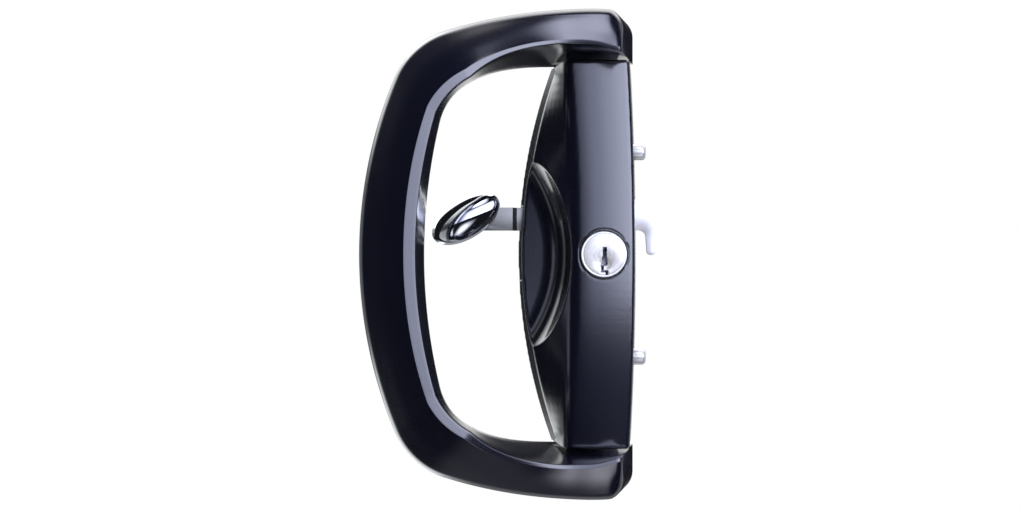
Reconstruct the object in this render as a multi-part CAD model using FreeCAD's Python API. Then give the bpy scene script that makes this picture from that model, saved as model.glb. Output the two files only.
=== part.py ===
import FreeCAD
import Part
import math
import os

from FreeCAD import Vector

# Sliding door lock: a D-shaped pull handle round a long cover with a finger scoop, a key cylinder,
# a snib that slides up and down at the cover's side, and a hook bolt in a lock case behind.
# Millimetres. X runs from the grip (-) to the hook (+), -Y points out of the door at the user, +Z is up.
# The door's face is the plane y = 0, and x = 0, z = 0 is midway between the two fixing holes.

# Handle outline seen from the front, outer edge: arm arc, corner arc and grip arc
HANDLE_HALF_HEIGHT = 76.0
OUTER_APEX_X = 0.0
OUTER_ARM_R = 146.0
GRIP_REACH = 72.5
OUTER_GRIP_R = 141.0
OUTER_CORNER_R = 25.0

# Handle outline, crest of the front face
ARM_FACE_HEIGHT = 11.0
CREST_APEX_X = -6.5
CREST_ARM_R = 62.0
CREST_END_R = 85.0
GRIP_FACE_WIDTH = 15.9
CREST_GRIP_R = 178.0
CREST_CORNER_R = 17.0

# Handle outline, inner edge at the back
FOOT_HEIGHT = 16.25
INNER_APEX_X = -15.0
INNER_ARM_R = 48.5
INNER_END_R = 400.0
GRIP_WIDTH = 20.0
INNER_GRIP_R = 182.0
INNER_CORNER_R = 19.0

# Handle depths, measured out from the door's face
ARM_PROJECTION = 33.0
GRIP_PROJECTION = 46.0
ARM_FACE_FALL = 5.5
GRIP_FACE_FALL = 11.5
GRIP_BACK = 27.0
ARM_RISE_LENGTH = 30.0
FOOT_EDGE_X = -15.5
FOOT_END_X = 13.0
FOOT_END_LEAN = 0.15
FOOT_END_LEAN_LENGTH = 16.0
END_TOP_R = 6.0
END_FRONT_R = 1.2
ARM_LAND = 1.3
GRIP_LAND = 3.6
LAND_TILT = 0.1
LAND_EDGE_R = 0.9
FACE_CROWN = 0.7
FACE_CROWN_R = 45.0
OUTER_EDGE_R = 4.5
GRIP_BACK_R = 5.0
FOOT_BACK_R = 1.2
GRIP_TUCK = 0.9

# Fixing holes in the handle's feet, and how far they lie above the foot's inner edge
FIXING_INSET = 9.75
FIXING_HOLE_R = 2.1
FIXING_HOLE_DEPTH = 16.0

# Cover
COVER_END_GAP = 0.4
COVER_LEFT_X = -23.8
COVER_LEFT_R = 172.0
COVER_RIGHT_X = 14.1
COVER_RIGHT_R = 1100.0
COVER_CREST = 20.6
COVER_CREST_FALL = 3.0
COVER_LEFT_EDGE = 9.5
COVER_LEFT_DRAFT = 2.3
COVER_RIGHT_DRAFT = 1.4
COVER_RIDGE_X = -5.4
COVER_RIDGE_SWEEP = 3.1
COVER_RIDGE_DROP = 0.9
COVER_RIGHT_DROP = 0.8
COVER_RIDGE_R = 9.0
COVER_LEFT_R_EDGE = 1.0
COVER_RIGHT_R_EDGE = 1.6
COVER_CROWN_R = 52.0
COVER_WALL = 2.0
COVER_END_R = 1.0
COVER_END_LEAN = 0.1
COVER_POST_X = 1.0
COVER_POST_INSET = 13.35
COVER_POST_R = 3.2

# Finger scoop: a ring turned about an axis square to the door
SCOOP_RIGHT_X = -7.2
SCOOP_R = 51.5
SCOOP_FLOOR = 4.8
SCOOP_FILLET_R = 9.5
SCOOP_WALL = 1.5
SCOOP_WIDTH = 24.0
SCOOP_FLOOR_RISE = 2.0

# Base plate
PLATE_THICK = 1.2
PLATE_GAP = 0.15
PLATE_END_HALF_WIDTH = 8.0
PLATE_TONGUE = 6.1
PLATE_SCREW_X = 5.2
PLATE_SCREW_INSET = 3.3
PLATE_SCREW_LENGTH = 5.0

# Key cylinder
CYLINDER_X = 3.0
CYLINDER_Z = 0.0
PLUG_R = 6.5
PLUG_GAP = 0.03
NOSE_R = 7.05
NOSE_HOLE_GAP = 0.4
CYLINDER_FACE = 22.2
CYLINDER_BACK = 3.8
RIB_FRONT = 17.6
RIB_HALF_WIDTH = 4.0
RIB_TOP = 16.5
LUG_TOP = 21.4
LUG_FRONT = 9.0
RIB_BOTTOM = 14.0
LUG_START = 9.8
PIN_COUNT = 5
PIN_PITCH = 2.6
PIN_FIRST = 15.9
PIN_R = 1.2
PIN_GAP = 0.06
KEY_PIN_FOOT = 0.7
DRIVER_LENGTH = 3.0
KEY_CUT_STEP = 0.4
CAP_THICK = 0.9
CAP_GAP = 0.02
SPRING_WIRE = 0.4
SPRING_TURNS = 4
KEYWAY_TOP = 2.3
KEYWAY_NECK_LEFT = -0.45
KEYWAY_NECK_RIGHT = 0.9
KEYWAY_NECK_END = -0.9
KEYWAY_BODY_RIGHT = 1.2
KEYWAY_BODY_LEFT = -1.1
KEYWAY_WARD = 0.5
KEYWAY_WAIST = -0.65
KEYWAY_WAIST_END = -2.5
KEYWAY_WARD_TOP = -3.5
KEYWAY_WARD_LEFT = 0.0
KEYWAY_WARD_END = -4.9
KEYWAY_TAIL_LEFT = 0.4
KEYWAY_TAIL_RIGHT = 1.35
KEYWAY_JOG = -5.7
DIMPLE_R = 2.2
DIMPLE_DEPTH = 0.5
DIMPLE_X = 0.3
DIMPLE_Z = -2.9

# Tail cam behind the plug
CAM_NOSE_R = 8.6
CAM_HUB_R = 4.2
CAM_NOSE_HALF_WIDTH = 1.9
CAM_THICK = 1.8
CAM_GAP = 0.3
TAIL_R = 2.4
TAIL_FLAT = 1.7
CAM_SCREW_R = 1.3
CAM_SCREW_HEAD_R = 2.2
CAM_SCREW_HEAD = 0.9
CAM_SCREW_LENGTH = 2.5

# Snib
SNIB_Z = 11.2
SNIB_TRAVEL = 15.5
LEVER_HEIGHT = 7.3
LEVER_THICK = 1.6
LEVER_GAP = 0.25
LEVER_RIGHT_X = -6.6
SHOE_LEFT_X = -15.0
SHOE_HALF_HEIGHT = 7.5
JOG_START_X = -24.1
JOG_RUN = 1.3
JOG_RISE = 4.2
LEVER_LEFT_X = -41.5
SLOT_GAP = 0.4
KNOB_X = -40.2
KNOB_HALF_LENGTH = 12.0
KNOB_HALF_WIDTH = 6.2
KNOB_TILT = 32.0
KNOB_SKIRT = 1.9
KNOB_BEVEL = 1.0
KNOB_DOME = 3.1
KNOB_RIVET_R = 1.5
KNOB_RIVET_HEAD_R = 2.6
KNOB_RIVET_HEAD = 0.8
KNOB_RIVET_DEPTH = 2.5
POST_X = -10.75
POST_R = 1.7
POST_HEAD_R = 2.6
POST_GAP = 0.03

# Lock case behind the base plate
CASE_LEFT_X = -15.4
CASE_RIGHT_X = 11.5
CASE_HALF_HEIGHT = 37.2
CASE_DEPTH = 13.0
CASE_WALL = 1.2
CASE_FOLD_R = 1.1
CASE_LUG_LENGTH = 5.0
CASE_LUG_HALF = 3.0
FACEPLATE_THICK = 1.8
FACEPLATE_HALF_HEIGHT = 37.6
FACEPLATE_EDGE = 0.4
FACEPLATE_CORNER_R = 2.5
FACEPLATE_SCREW_Z = 33.0
FACEPLATE_SCREW_R = 1.5
FACEPLATE_HEAD_R = 2.6
FACEPLATE_HEAD = 4.2
FACEPLATE_HEAD_ROUND = 1.3
SPACER_R = 2.4
SPACER_GAP = 0.4
SPACER_TOP_X = -1.5
SPACER_LOW_X = -10.5
SPACER_SIDE_Z = -20.0
CASE_SCREW_R = 1.25
CASE_SCREW_LENGTH = 7.0
CASE_SCREW_HEAD_R = 2.3
CASE_SCREW_HEAD = 1.1
RECESS_REACH = 0.55
RECESS_WIDTH = 0.15
PIVOT_R = 2.0
PIVOT_GAP = 0.05

# Hook bolt and its rack
HOOK_X = 3.0
HOOK_Z = 9.7
HOOK_THICK = 3.2
PINION_R = 10.0
TOOTH_MODULE = 1.25
ADDENDUM = 1.1
DEDENDUM = 1.4
BACKLASH = 0.15
PRESSURE_ANGLE = 20.0
HOOK_HUB_R = 6.4
HOOK_REACH = 18.4
HOOK_NOSE_DROP = 9.9
HOOK_NOSE_WIDTH = 3.0
HOOK_NECK_TOP = 7.6
HOOK_NECK_BOTTOM = 1.3
HOOK_HUB_DROP = 2.0
HOOK_GAP = 0.6
HOOK_TOP_R = 6.0
HOOK_SHOULDER_R = 5.5
HOOK_BEND_R = 7.0
HOOK_TIP_R = 1.2
HOOK_BARB_R = 1.4
HOOK_THROAT_R = 2.4
HOOK_HUB_EDGE_R = 2.0
HOOK_TIP_TAPER = 0.9
HOOK_BARB_TAPER = 0.5
HOOK_HUB_FALL = 0.65
HOOK_CREST_X = 10.1
HOOK_CREST_RISE = 1.0
HOOK_SHOULDER_INSET = 1.3
HOOK_SHOULDER_DROP = 1.8
RACK_BACK_X = -13.0
RACK_TOP_Z = 34.6
RACK_BOTTOM_Z = -14.0
GUIDE_LENGTH = 4.5
GUIDE_GAP = 0.08
GUIDE_UPPER_Z = 16.4
GUIDE_LOWER_Z = -10.0
BRAKE_THICK = 0.4
BRAKE_BOW = 0.75
BRAKE_HALF_LENGTH = 9.0
BRAKE_HALF_WIDTH = 1.5
BRAKE_Z = 3.2

SMALL = 0.05
BEYOND = 1.0
FAR = 60.0
CORNER_SHARE = 0.47

# Worked out from the sizes above
FOOT_INNER_Z = HANDLE_HALF_HEIGHT - FOOT_HEIGHT
ARM_CREST_Z = HANDLE_HALF_HEIGHT - ARM_FACE_HEIGHT
COVER_HALF_HEIGHT = FOOT_INNER_Z - COVER_END_GAP
SCOOP_X = SCOOP_RIGHT_X - SCOOP_R
LEVER_BACK = PLATE_THICK + LEVER_GAP
LEVER_FRONT = LEVER_BACK + LEVER_THICK
ARM_BACK = LEVER_BACK + JOG_RISE
ARM_FRONT = LEVER_FRONT + JOG_RISE
HOOK_FRONT = (CASE_DEPTH - HOOK_THICK) / 2
HOOK_BACK = HOOK_FRONT + HOOK_THICK
CASE_MIDDLE = CASE_DEPTH / 2
PITCH_X = HOOK_X - PINION_R
TOOTH_PITCH = math.pi * TOOTH_MODULE
CASE_INNER_LEFT = CASE_LEFT_X + CASE_WALL
CASE_INNER_RIGHT = CASE_RIGHT_X - CASE_WALL
FACEPLATE_FRONT_X = CASE_RIGHT_X + FACEPLATE_THICK
FIXING_Z = FOOT_INNER_Z + FIXING_INSET
PLATE_SCREW_Z = FOOT_INNER_Z + PLATE_SCREW_INSET
COVER_POST_Z = COVER_HALF_HEIGHT - COVER_POST_INSET
SPACER_END_Z = CASE_HALF_HEIGHT - CASE_WALL - SPACER_R - SPACER_GAP
SPACER_MIDDLE_X = CASE_INNER_RIGHT - CASE_LUG_LENGTH - SPACER_R - SPACER_GAP
SPACER_SIDE_X = CASE_INNER_RIGHT - SPACER_R - SPACER_GAP
SPACERS = [
    (SPACER_TOP_X, SPACER_END_Z),
    (SPACER_LOW_X, -SPACER_END_Z),
    (SPACER_MIDDLE_X, -SPACER_END_Z),
    (SPACER_SIDE_X, SPACER_SIDE_Z),
]


def smooth(share):
    """A share from 0 to 1, eased at both ends."""
    share = min(1.0, max(0.0, share))
    return share * share * (3 - 2 * share)


def blend(start, end, share):
    return start + (end - start) * share


def block(x, y, z):
    """A box between pairs of limits."""
    corner = Vector(min(x), min(y), min(z))
    return Part.makeBox(max(x) - min(x), max(y) - min(y), max(z) - min(z), corner)


def rod(radius, x, y, z):
    """A cylinder square to the door, between two depths y."""
    return Part.makeCylinder(radius, max(y) - min(y), Vector(x, min(y), z), Vector(0, 1, 0))


def cross_rod(radius, x, y, z):
    """A cylinder along X, between two places x."""
    return Part.makeCylinder(radius, max(x) - min(x), Vector(min(x), y, z), Vector(1, 0, 0))


def cone(front_r, back_r, x, y, z):
    """A cone square to the door: front_r at the lower y, back_r at the higher."""
    return Part.makeCone(front_r, back_r, max(y) - min(y), Vector(x, min(y), z), Vector(0, 1, 0))


def rounded_wire(corners, radii, place):
    """A closed wire through flat corners, each rounded unless its radius is 0.

    place turns a flat point into one in space.
    """
    points = [Vector(a, b, 0) for a, b in corners]
    arcs = []
    for i, here in enumerate(points):
        if not radii[i]:
            arcs.append((here, None, here))
            continue
        back = points[i - 1].sub(here)
        ahead = points[(i + 1) % len(points)].sub(here)
        half = back.getAngle(ahead) / 2
        reach = min(radii[i] / math.tan(half), CORNER_SHARE * min(back.Length, ahead.Length))
        radius = reach * math.tan(half)
        back.normalize()
        ahead.normalize()
        middle = (back + ahead).normalize()
        top = here + middle * (radius / math.sin(half) - radius)
        arcs.append((here + back * reach, top, here + ahead * reach))
    edges = []
    for i, (start, top, end) in enumerate(arcs):
        following = arcs[(i + 1) % len(arcs)][0]
        if top:
            edges.append(Part.Arc(place(start), place(top), place(end)).toShape())
        edges.append(Part.LineSegment(place(end), place(following)).toShape())
    return Part.Wire(edges)


def inset(corners, distance):
    """The polygon moved inwards by distance. Its corners run so that the inside is on the left."""
    moved = []
    count = len(corners)
    for i in range(count):
        before = Vector(*corners[i - 1], 0)
        here = Vector(*corners[i], 0)
        after = Vector(*corners[(i + 1) % count], 0)
        first = (here - before).normalize()
        second = (after - here).normalize()
        first_in = Vector(-first.y, first.x, 0)
        second_in = Vector(-second.y, second.x, 0)
        shift = (first_in + second_in) * (distance / (1 + first_in.dot(second_in)))
        moved.append((here.x + shift.x, here.y + shift.y))
    return moved


def front_face(corners, radii, y):
    """A face parallel to the door at depth y from corners (x, z), each rounded."""
    return Part.Face(rounded_wire(corners, radii, lambda p: Vector(p.x, y, p.y)))


def plain_face(corners, y):
    """A face parallel to the door at depth y with sharp corners (x, z)."""
    return Part.Face(Part.makePolygon([Vector(x, y, z) for x, z in corners + corners[:1]]))


class Bow:
    """Half of a handle outline seen from the front: an arm arc, a corner arc and a grip arc, each tangent."""

    def __init__(self, apex_x, apex_z, arm_r, grip_x, grip_r, corner_r, end_r):
        self.apex_x = apex_x
        self.apex_z = apex_z
        self.arm_r = arm_r
        self.end_r = end_r
        self.corner_r = corner_r
        self.grip_r = grip_r
        arm_centre = Vector(apex_x, 0, apex_z - arm_r)
        self.grip_centre = Vector(grip_x + grip_r, 0, 0)
        line = self.grip_centre - arm_centre
        span = line.Length
        line.normalize()
        side = Vector(-line.z, 0, line.x)
        to_arm = arm_r - corner_r
        to_grip = grip_r - corner_r
        along = (to_arm**2 - to_grip**2 + span**2) / (2 * span)
        self.corner_centre = arm_centre + line * along + side * math.sqrt(to_arm**2 - along**2)
        from_arm = self.corner_centre - arm_centre
        from_grip = self.corner_centre - self.grip_centre
        self.first_angle = math.atan2(from_arm.z, from_arm.x)
        self.last_angle = math.atan2(from_grip.z, from_grip.x)

    def corner(self, share):
        angle = blend(self.first_angle, self.last_angle, share)
        return self.corner_centre + Vector(math.cos(angle), 0, math.sin(angle)) * self.corner_r

    def arm(self, x):
        """The point of the arm above x. Past the apex it bends with end_r, outwards if that is negative."""
        aside = x - self.apex_x
        radius = self.arm_r if aside < 0 else self.end_r
        fall = math.copysign(abs(radius) - math.sqrt(radius**2 - aside**2), radius)
        return Vector(x, 0, self.apex_z - fall)

    def arm_share(self, start_x, share):
        return self.arm(blend(start_x, self.corner(0).x, share))

    def grip(self, share):
        """From the corner's end at 0 to the middle of the grip at 1."""
        height = self.corner(1).z * (1 - share)
        return Vector(self.grip_centre.x - math.sqrt(self.grip_r**2 - height**2), 0, height)


def handle_bows():
    outer_corner = (-GRIP_REACH, OUTER_GRIP_R, OUTER_CORNER_R)
    outer = Bow(OUTER_APEX_X, HANDLE_HALF_HEIGHT, OUTER_ARM_R, *outer_corner, OUTER_ARM_R)
    crest_corner = (-GRIP_REACH + GRIP_FACE_WIDTH, CREST_GRIP_R, CREST_CORNER_R)
    crest = Bow(CREST_APEX_X, ARM_CREST_Z, CREST_ARM_R, *crest_corner, CREST_END_R)
    inner_corner = (-GRIP_REACH + GRIP_WIDTH, INNER_GRIP_R, INNER_CORNER_R)
    inner = Bow(INNER_APEX_X, FOOT_INNER_Z, INNER_ARM_R, *inner_corner, -INNER_END_R)
    return inner, crest, outer


def handle_section(inner, crest, outer, end_distance):
    """One section of the handle, through points of the three outlines. end_distance is how far it is from the
    foot's end face, whose edges are rounded there."""
    across = outer - inner
    width = across.Length
    across.normalize()
    to_grip = smooth((CREST_APEX_X - crest.x) / (CREST_APEX_X + GRIP_REACH - GRIP_FACE_WIDTH))
    to_back = smooth((FOOT_EDGE_X - inner.x) / ARM_RISE_LENGTH)
    front = -blend(ARM_PROJECTION, GRIP_PROJECTION, to_grip)
    fall = blend(ARM_FACE_FALL, GRIP_FACE_FALL, to_grip)
    back = blend(BEYOND, -GRIP_BACK, to_back)
    front += rounding(END_FRONT_R, end_distance)
    width -= rounding(END_TOP_R, end_distance)
    crest_at = (crest - inner).dot(across)
    tuck = GRIP_TUCK * to_back
    land = blend(ARM_LAND, GRIP_LAND, to_grip**4)
    middle = ((crest_at + land / 2 + width) / 2, front + fall / 2 - FACE_CROWN)
    land_inner = (crest_at - land / 2, front + land * LAND_TILT)
    land_outer = (crest_at + land / 2, front)
    corners = [(-tuck, back), land_inner, land_outer, middle, (width, front + fall), (width, back)]
    back_r = blend(FOOT_BACK_R, GRIP_BACK_R, to_back)
    radii = [back_r, LAND_EDGE_R, LAND_EDGE_R, FACE_CROWN_R, OUTER_EDGE_R, back_r]
    lean = FOOT_END_LEAN * (1 - smooth((FOOT_END_X - inner.x) / FOOT_END_LEAN_LENGTH))
    return rounded_wire(corners, radii, lambda p: inner + across * p.x + Vector(p.y * lean, p.y, 0))


def rounding(radius, distance):
    """How far an edge of this radius has drawn in, at a distance from the end face that it rounds."""
    left = max(0.0, radius - distance)
    return radius - math.sqrt(radius**2 - left**2)


def handle_sections():
    """Sections from the upper foot's end face round to the lower foot's."""
    bows = handle_bows()
    top = []
    for angle in (0, 22, 45, 67):
        distance = END_TOP_R * (1 - math.cos(math.radians(angle)))
        top.append(handle_section(*[b.arm(FOOT_END_X - distance) for b in bows], distance))
    for share in (0, 0.25, 0.5, 0.75, 1):
        points = [b.arm_share(FOOT_END_X - END_TOP_R, share) for b in bows]
        top.append(handle_section(*points, FAR))
    for share in (0.33, 0.67, 1):
        top.append(handle_section(*[b.corner(share) for b in bows], FAR))
    for share in (0.35, 0.7):
        top.append(handle_section(*[b.grip(share) for b in bows], FAR))
    middle = handle_section(*[b.grip(1) for b in bows], FAR)
    mirror = [wire.mirror(Vector(0, 0, 0), Vector(0, 0, 1)) for wire in reversed(top)]
    return top + [middle] + mirror


def fixing_places():
    return [(0.0, FIXING_Z), (0.0, -FIXING_Z)]


def plate_screw_places():
    return [(x, z) for x in (-PLATE_SCREW_X, PLATE_SCREW_X) for z in (-PLATE_SCREW_Z, PLATE_SCREW_Z)]


def pull_handle():
    """The cast D handle, with tapped holes and a seat for the base plate in each foot."""
    handle = Part.makeLoft(handle_sections(), True, False)
    handle = handle.cut(block((-FAR, FAR), (0, 2 * BEYOND), (-2 * FAR, 2 * FAR)))
    for x, z in fixing_places():
        handle = handle.cut(rod(FIXING_HOLE_R, x, (-FIXING_HOLE_DEPTH, BEYOND), z))
    for x, z in plate_screw_places():
        handle = handle.cut(rod(CASE_SCREW_R, x, (-PLATE_SCREW_LENGTH - BEYOND, BEYOND), z))
    return handle.cut(plate_solid(PLATE_GAP))


def cover_left(z):
    return COVER_LEFT_X + COVER_LEFT_R - math.sqrt(COVER_LEFT_R**2 - z**2)


def cover_right(z):
    return COVER_RIGHT_X - COVER_RIGHT_R + math.sqrt(COVER_RIGHT_R**2 - z**2)


def cover_crest(z):
    """How far the cover stands out from the door at height z."""
    return COVER_CREST - COVER_CREST_FALL * (z / COVER_HALF_HEIGHT) ** 2


def cover_corners(z):
    """The cover's section at height z: corners (x, y)."""
    crest = cover_crest(z)
    left = cover_left(z)
    right = cover_right(z)
    ridge = COVER_RIDGE_X - COVER_RIDGE_SWEEP * (z / COVER_HALF_HEIGHT) ** 2
    shoulder = right - COVER_RIGHT_DRAFT
    return [
        (right, BEYOND),
        (left, BEYOND),
        (left + COVER_LEFT_DRAFT, -COVER_LEFT_EDGE),
        (ridge, -crest + COVER_RIDGE_DROP),
        (blend(ridge, shoulder, 0.25), -crest + COVER_RIDGE_DROP / 4),
        (blend(ridge, shoulder, 0.5), -crest),
        (blend(ridge, shoulder, 0.75), -crest + COVER_RIGHT_DROP / 4),
        (shoulder, -crest + COVER_RIGHT_DROP),
    ]


def cover_loft(distance):
    """The cover's outer form, or the same form drawn in by a wall. Its ends lean outwards as the arms do."""
    crown = [COVER_CROWN_R - distance] * 3
    left_r = max(0, COVER_LEFT_R_EDGE - distance)
    right_r = max(0, COVER_RIGHT_R_EDGE - distance)
    radii = [0, 0, left_r, COVER_RIDGE_R - distance, *crown, right_r]
    end_z = COVER_HALF_HEIGHT - distance * math.hypot(1, COVER_END_LEAN)
    wires = []
    for share in (1, 0.75, 0.5, 0.25, 0, -0.25, -0.5, -0.75, -1):
        z = end_z * share
        corners = cover_corners(z)
        if distance:
            corners = inset(corners, distance)
            corners[0] = (corners[0][0], BEYOND)
            corners[1] = (corners[1][0], BEYOND)
        lean = COVER_END_LEAN * share
        wires.append(rounded_wire(corners, radii, lambda p, z=z, lean=lean: Vector(p.x, p.y, z - p.y * lean)))
    return Part.makeLoft(wires, True, False)


def is_cover_end_edge(edge):
    """Whether an edge runs across the front at one of the cover's ends."""
    box = edge.BoundBox
    at_end = abs(box.Center.z) > COVER_HALF_HEIGHT - BEYOND and box.ZLength < 5 * BEYOND
    return at_end and box.YMax < -COVER_LEFT_EDGE / 2 and box.XLength > SMALL


def scoop_ring(growth):
    """The finger scoop's space, grown on all sides by growth."""
    outer = SCOOP_R + growth
    floor = -SCOOP_FLOOR + growth
    fillet = SCOOP_FILLET_R + growth
    start = Vector(outer, floor - fillet, 0)
    turn = math.radians(45)
    top = Vector(outer - fillet * (1 - math.cos(turn)), floor - fillet * (1 - math.sin(turn)), 0)
    end = Vector(outer - fillet, floor, 0)
    inside = SCOOP_R - SCOOP_WIDTH
    rise = floor - SCOOP_FLOOR_RISE
    edges = [
        Part.LineSegment(Vector(inside, -FAR, 0), Vector(outer, -FAR, 0)).toShape(),
        Part.LineSegment(Vector(outer, -FAR, 0), start).toShape(),
        Part.Arc(start, top, end).toShape(),
        Part.LineSegment(end, Vector(inside, rise, 0)).toShape(),
        Part.LineSegment(Vector(inside, rise, 0), Vector(inside, -FAR, 0)).toShape(),
    ]
    profile = Part.Face(Part.Wire(edges))
    ring = profile.revolve(Vector(0, 0, 0), Vector(0, 1, 0), 360)
    ring.translate(Vector(SCOOP_X, 0, 0))
    return ring


def lever_slot():
    """The window in the cover's side wall that the lever slides in."""
    half = LEVER_HEIGHT / 2 + SLOT_GAP
    heights = (SNIB_Z - SNIB_TRAVEL - half, SNIB_Z + half)
    sides = (COVER_LEFT_X - BEYOND, COVER_LEFT_X + 3 * COVER_WALL)
    return block(sides, (-LEVER_FRONT - LEVER_GAP, -LEVER_BACK + LEVER_GAP), heights)


def cover_posts():
    return [(COVER_POST_X, COVER_POST_Z), (COVER_POST_X, -COVER_POST_Z)]


def cover():
    """The cast cover: a shell with a finger scoop, a hole for the cylinder and two screw posts."""
    outer = cover_loft(0)
    outer = outer.makeFillet(COVER_END_R, [e for e in outer.Edges if is_cover_end_edge(e)])
    hollow = cover_loft(COVER_WALL)
    shell = outer.cut(hollow)
    shell = shell.fuse(scoop_ring(SCOOP_WALL).common(outer))
    for x, z in cover_posts():
        shell = shell.fuse(rod(COVER_POST_R, x, (-FAR, 0), z).common(outer))
    shell = shell.cut(scoop_ring(0))
    shell = shell.cut(rod(NOSE_R + NOSE_HOLE_GAP, CYLINDER_X, (-FAR, 0), CYLINDER_Z))
    shell = shell.cut(lever_slot())
    for x, z in cover_posts():
        shell = shell.cut(rod(CASE_SCREW_R, x, (-CASE_SCREW_LENGTH - BEYOND, BEYOND), z))
    shell = shell.cut(plate_solid(PLATE_GAP))
    return shell.cut(block((-FAR, FAR), (0, 2 * BEYOND), (-2 * FAR, 2 * FAR)))


def plate_solid(growth):
    """The base plate's blank, grown by growth: it lies inside the cover, with a tongue under each foot."""
    aside = COVER_WALL + 2 * PLATE_GAP - growth
    z_end = COVER_HALF_HEIGHT - COVER_WALL - 2 * PLATE_GAP + growth
    left = [Vector(cover_left(z) + aside, 0, z) for z in (-z_end, 0, z_end)]
    right = [Vector(cover_right(z) - aside, 0, z) for z in (z_end, 0, -z_end)]
    edges = [
        Part.Arc(*left).toShape(),
        Part.LineSegment(left[2], right[0]).toShape(),
        Part.Arc(*right).toShape(),
        Part.LineSegment(right[2], left[0]).toShape(),
    ]
    depth = PLATE_THICK + growth
    blank = Part.Face(Part.Wire(edges)).extrude(Vector(0, -depth, 0))
    half_width = PLATE_END_HALF_WIDTH + growth
    z_tip = FOOT_INNER_Z + PLATE_TONGUE + growth
    tongue = block((-half_width, half_width), (-depth, 0), (-z_tip, z_tip))
    return blank.fuse(tongue).removeSplitter()


def base_plate():
    """The steel plate that the handle, the cover, the cylinder and the lock case are screwed to."""
    plate = plate_solid(0)
    for x, z in plate_screw_places() + cover_posts() + cylinder_screw_places():
        plate = plate.cut(screw_hole(x, z))
    for x, z in SPACERS:
        plate = plate.cut(countersink_from_front(x, z, SMALL))
    half = POST_R + SLOT_GAP
    plate = plate.cut(slot_through(half, (-PLATE_THICK - BEYOND, BEYOND)))
    return plate.cut(rod(CAM_SCREW_HEAD_R + SLOT_GAP, CYLINDER_X, (-FAR, BEYOND), CYLINDER_Z))


def slot_through(half, depths):
    """The upright slot that the drive post travels in."""
    low = SNIB_Z - SNIB_TRAVEL
    middle = block((POST_X - half, POST_X + half), depths, (low, SNIB_Z))
    return middle.fuse(rod(half, POST_X, depths, low)).fuse(rod(half, POST_X, depths, SNIB_Z))


def screw_hole(x, z):
    """Clearance for a countersunk screw put in from the back of the plate."""
    hole = rod(CASE_SCREW_R + SMALL, x, (-PLATE_THICK - BEYOND, BEYOND), z)
    return hole.fuse(cone(CASE_SCREW_R + SMALL, CASE_SCREW_HEAD_R + SMALL, x, (-CASE_SCREW_HEAD, 0), z))


def screw_from_back(x, z, length):
    """A countersunk screw whose head is flush with the back of the base plate."""
    shank = rod(CASE_SCREW_R - SMALL, x, (-length, -CASE_SCREW_HEAD / 2), z)
    head = cone(CASE_SCREW_R - SMALL, CASE_SCREW_HEAD_R, x, (-CASE_SCREW_HEAD, 0), z)
    return shank.fuse(head).cut(drive_recess(x, z, 0)).removeSplitter()


def drive_recess(x, z, y):
    """A cross recess in a screw head whose flat is at depth y."""
    arm = CASE_SCREW_HEAD_R * RECESS_REACH
    wide = CASE_SCREW_HEAD_R * RECESS_WIDTH
    deep = (y - CASE_SCREW_HEAD / 2, y + BEYOND)
    level = block((x - arm, x + arm), deep, (z - wide, z + wide))
    return level.fuse(block((x - wide, x + wide), deep, (z - arm, z + arm)))


def countersink_from_front(x, z, gap):
    """The form of a countersunk screw put in from the front of the plate, grown by gap."""
    face = -PLATE_THICK
    head = cone(CASE_SCREW_HEAD_R + gap, CASE_SCREW_R + gap, x, (face, face + CASE_SCREW_HEAD), z)
    return head.fuse(rod(CASE_SCREW_R + gap, x, (face, CASE_SCREW_LENGTH), z)).removeSplitter()


def group(solids):
    return Part.makeCompound(solids)


def plate_screws():
    return group([screw_from_back(x, z, PLATE_SCREW_LENGTH) for x, z in plate_screw_places()])


def cover_screws():
    return group([screw_from_back(x, z, CASE_SCREW_LENGTH) for x, z in cover_posts()])


def cylinder_screw_places():
    low = (CYLINDER_X, CYLINDER_Z - (RIB_BOTTOM + LUG_START) / 2)
    high = (CYLINDER_X, CYLINDER_Z + (LUG_TOP + RIB_TOP) / 2)
    return [low, high]


def cylinder_screws():
    return group([screw_from_back(x, z, CASE_SCREW_LENGTH) for x, z in cylinder_screw_places()])


def case_screws():
    """Countersunk screws from the front of the base plate into the lock case's spacers."""
    screws = []
    for x, z in SPACERS:
        cross = drive_recess(x, z, 0).mirror(Vector(0, 0, 0), Vector(0, 1, 0))
        cross.translate(Vector(0, -PLATE_THICK, 0))
        screws.append(countersink_from_front(x, z, -SMALL).cut(cross))
    return group(screws)


def pin_depths():
    return [-PIN_FIRST + i * PIN_PITCH for i in range(PIN_COUNT)]


def upright(radius, x, y, z):
    """A cylinder along Z between two heights z."""
    return Part.makeCylinder(radius, max(z) - min(z), Vector(x, y, min(z)), Vector(0, 0, 1))


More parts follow.
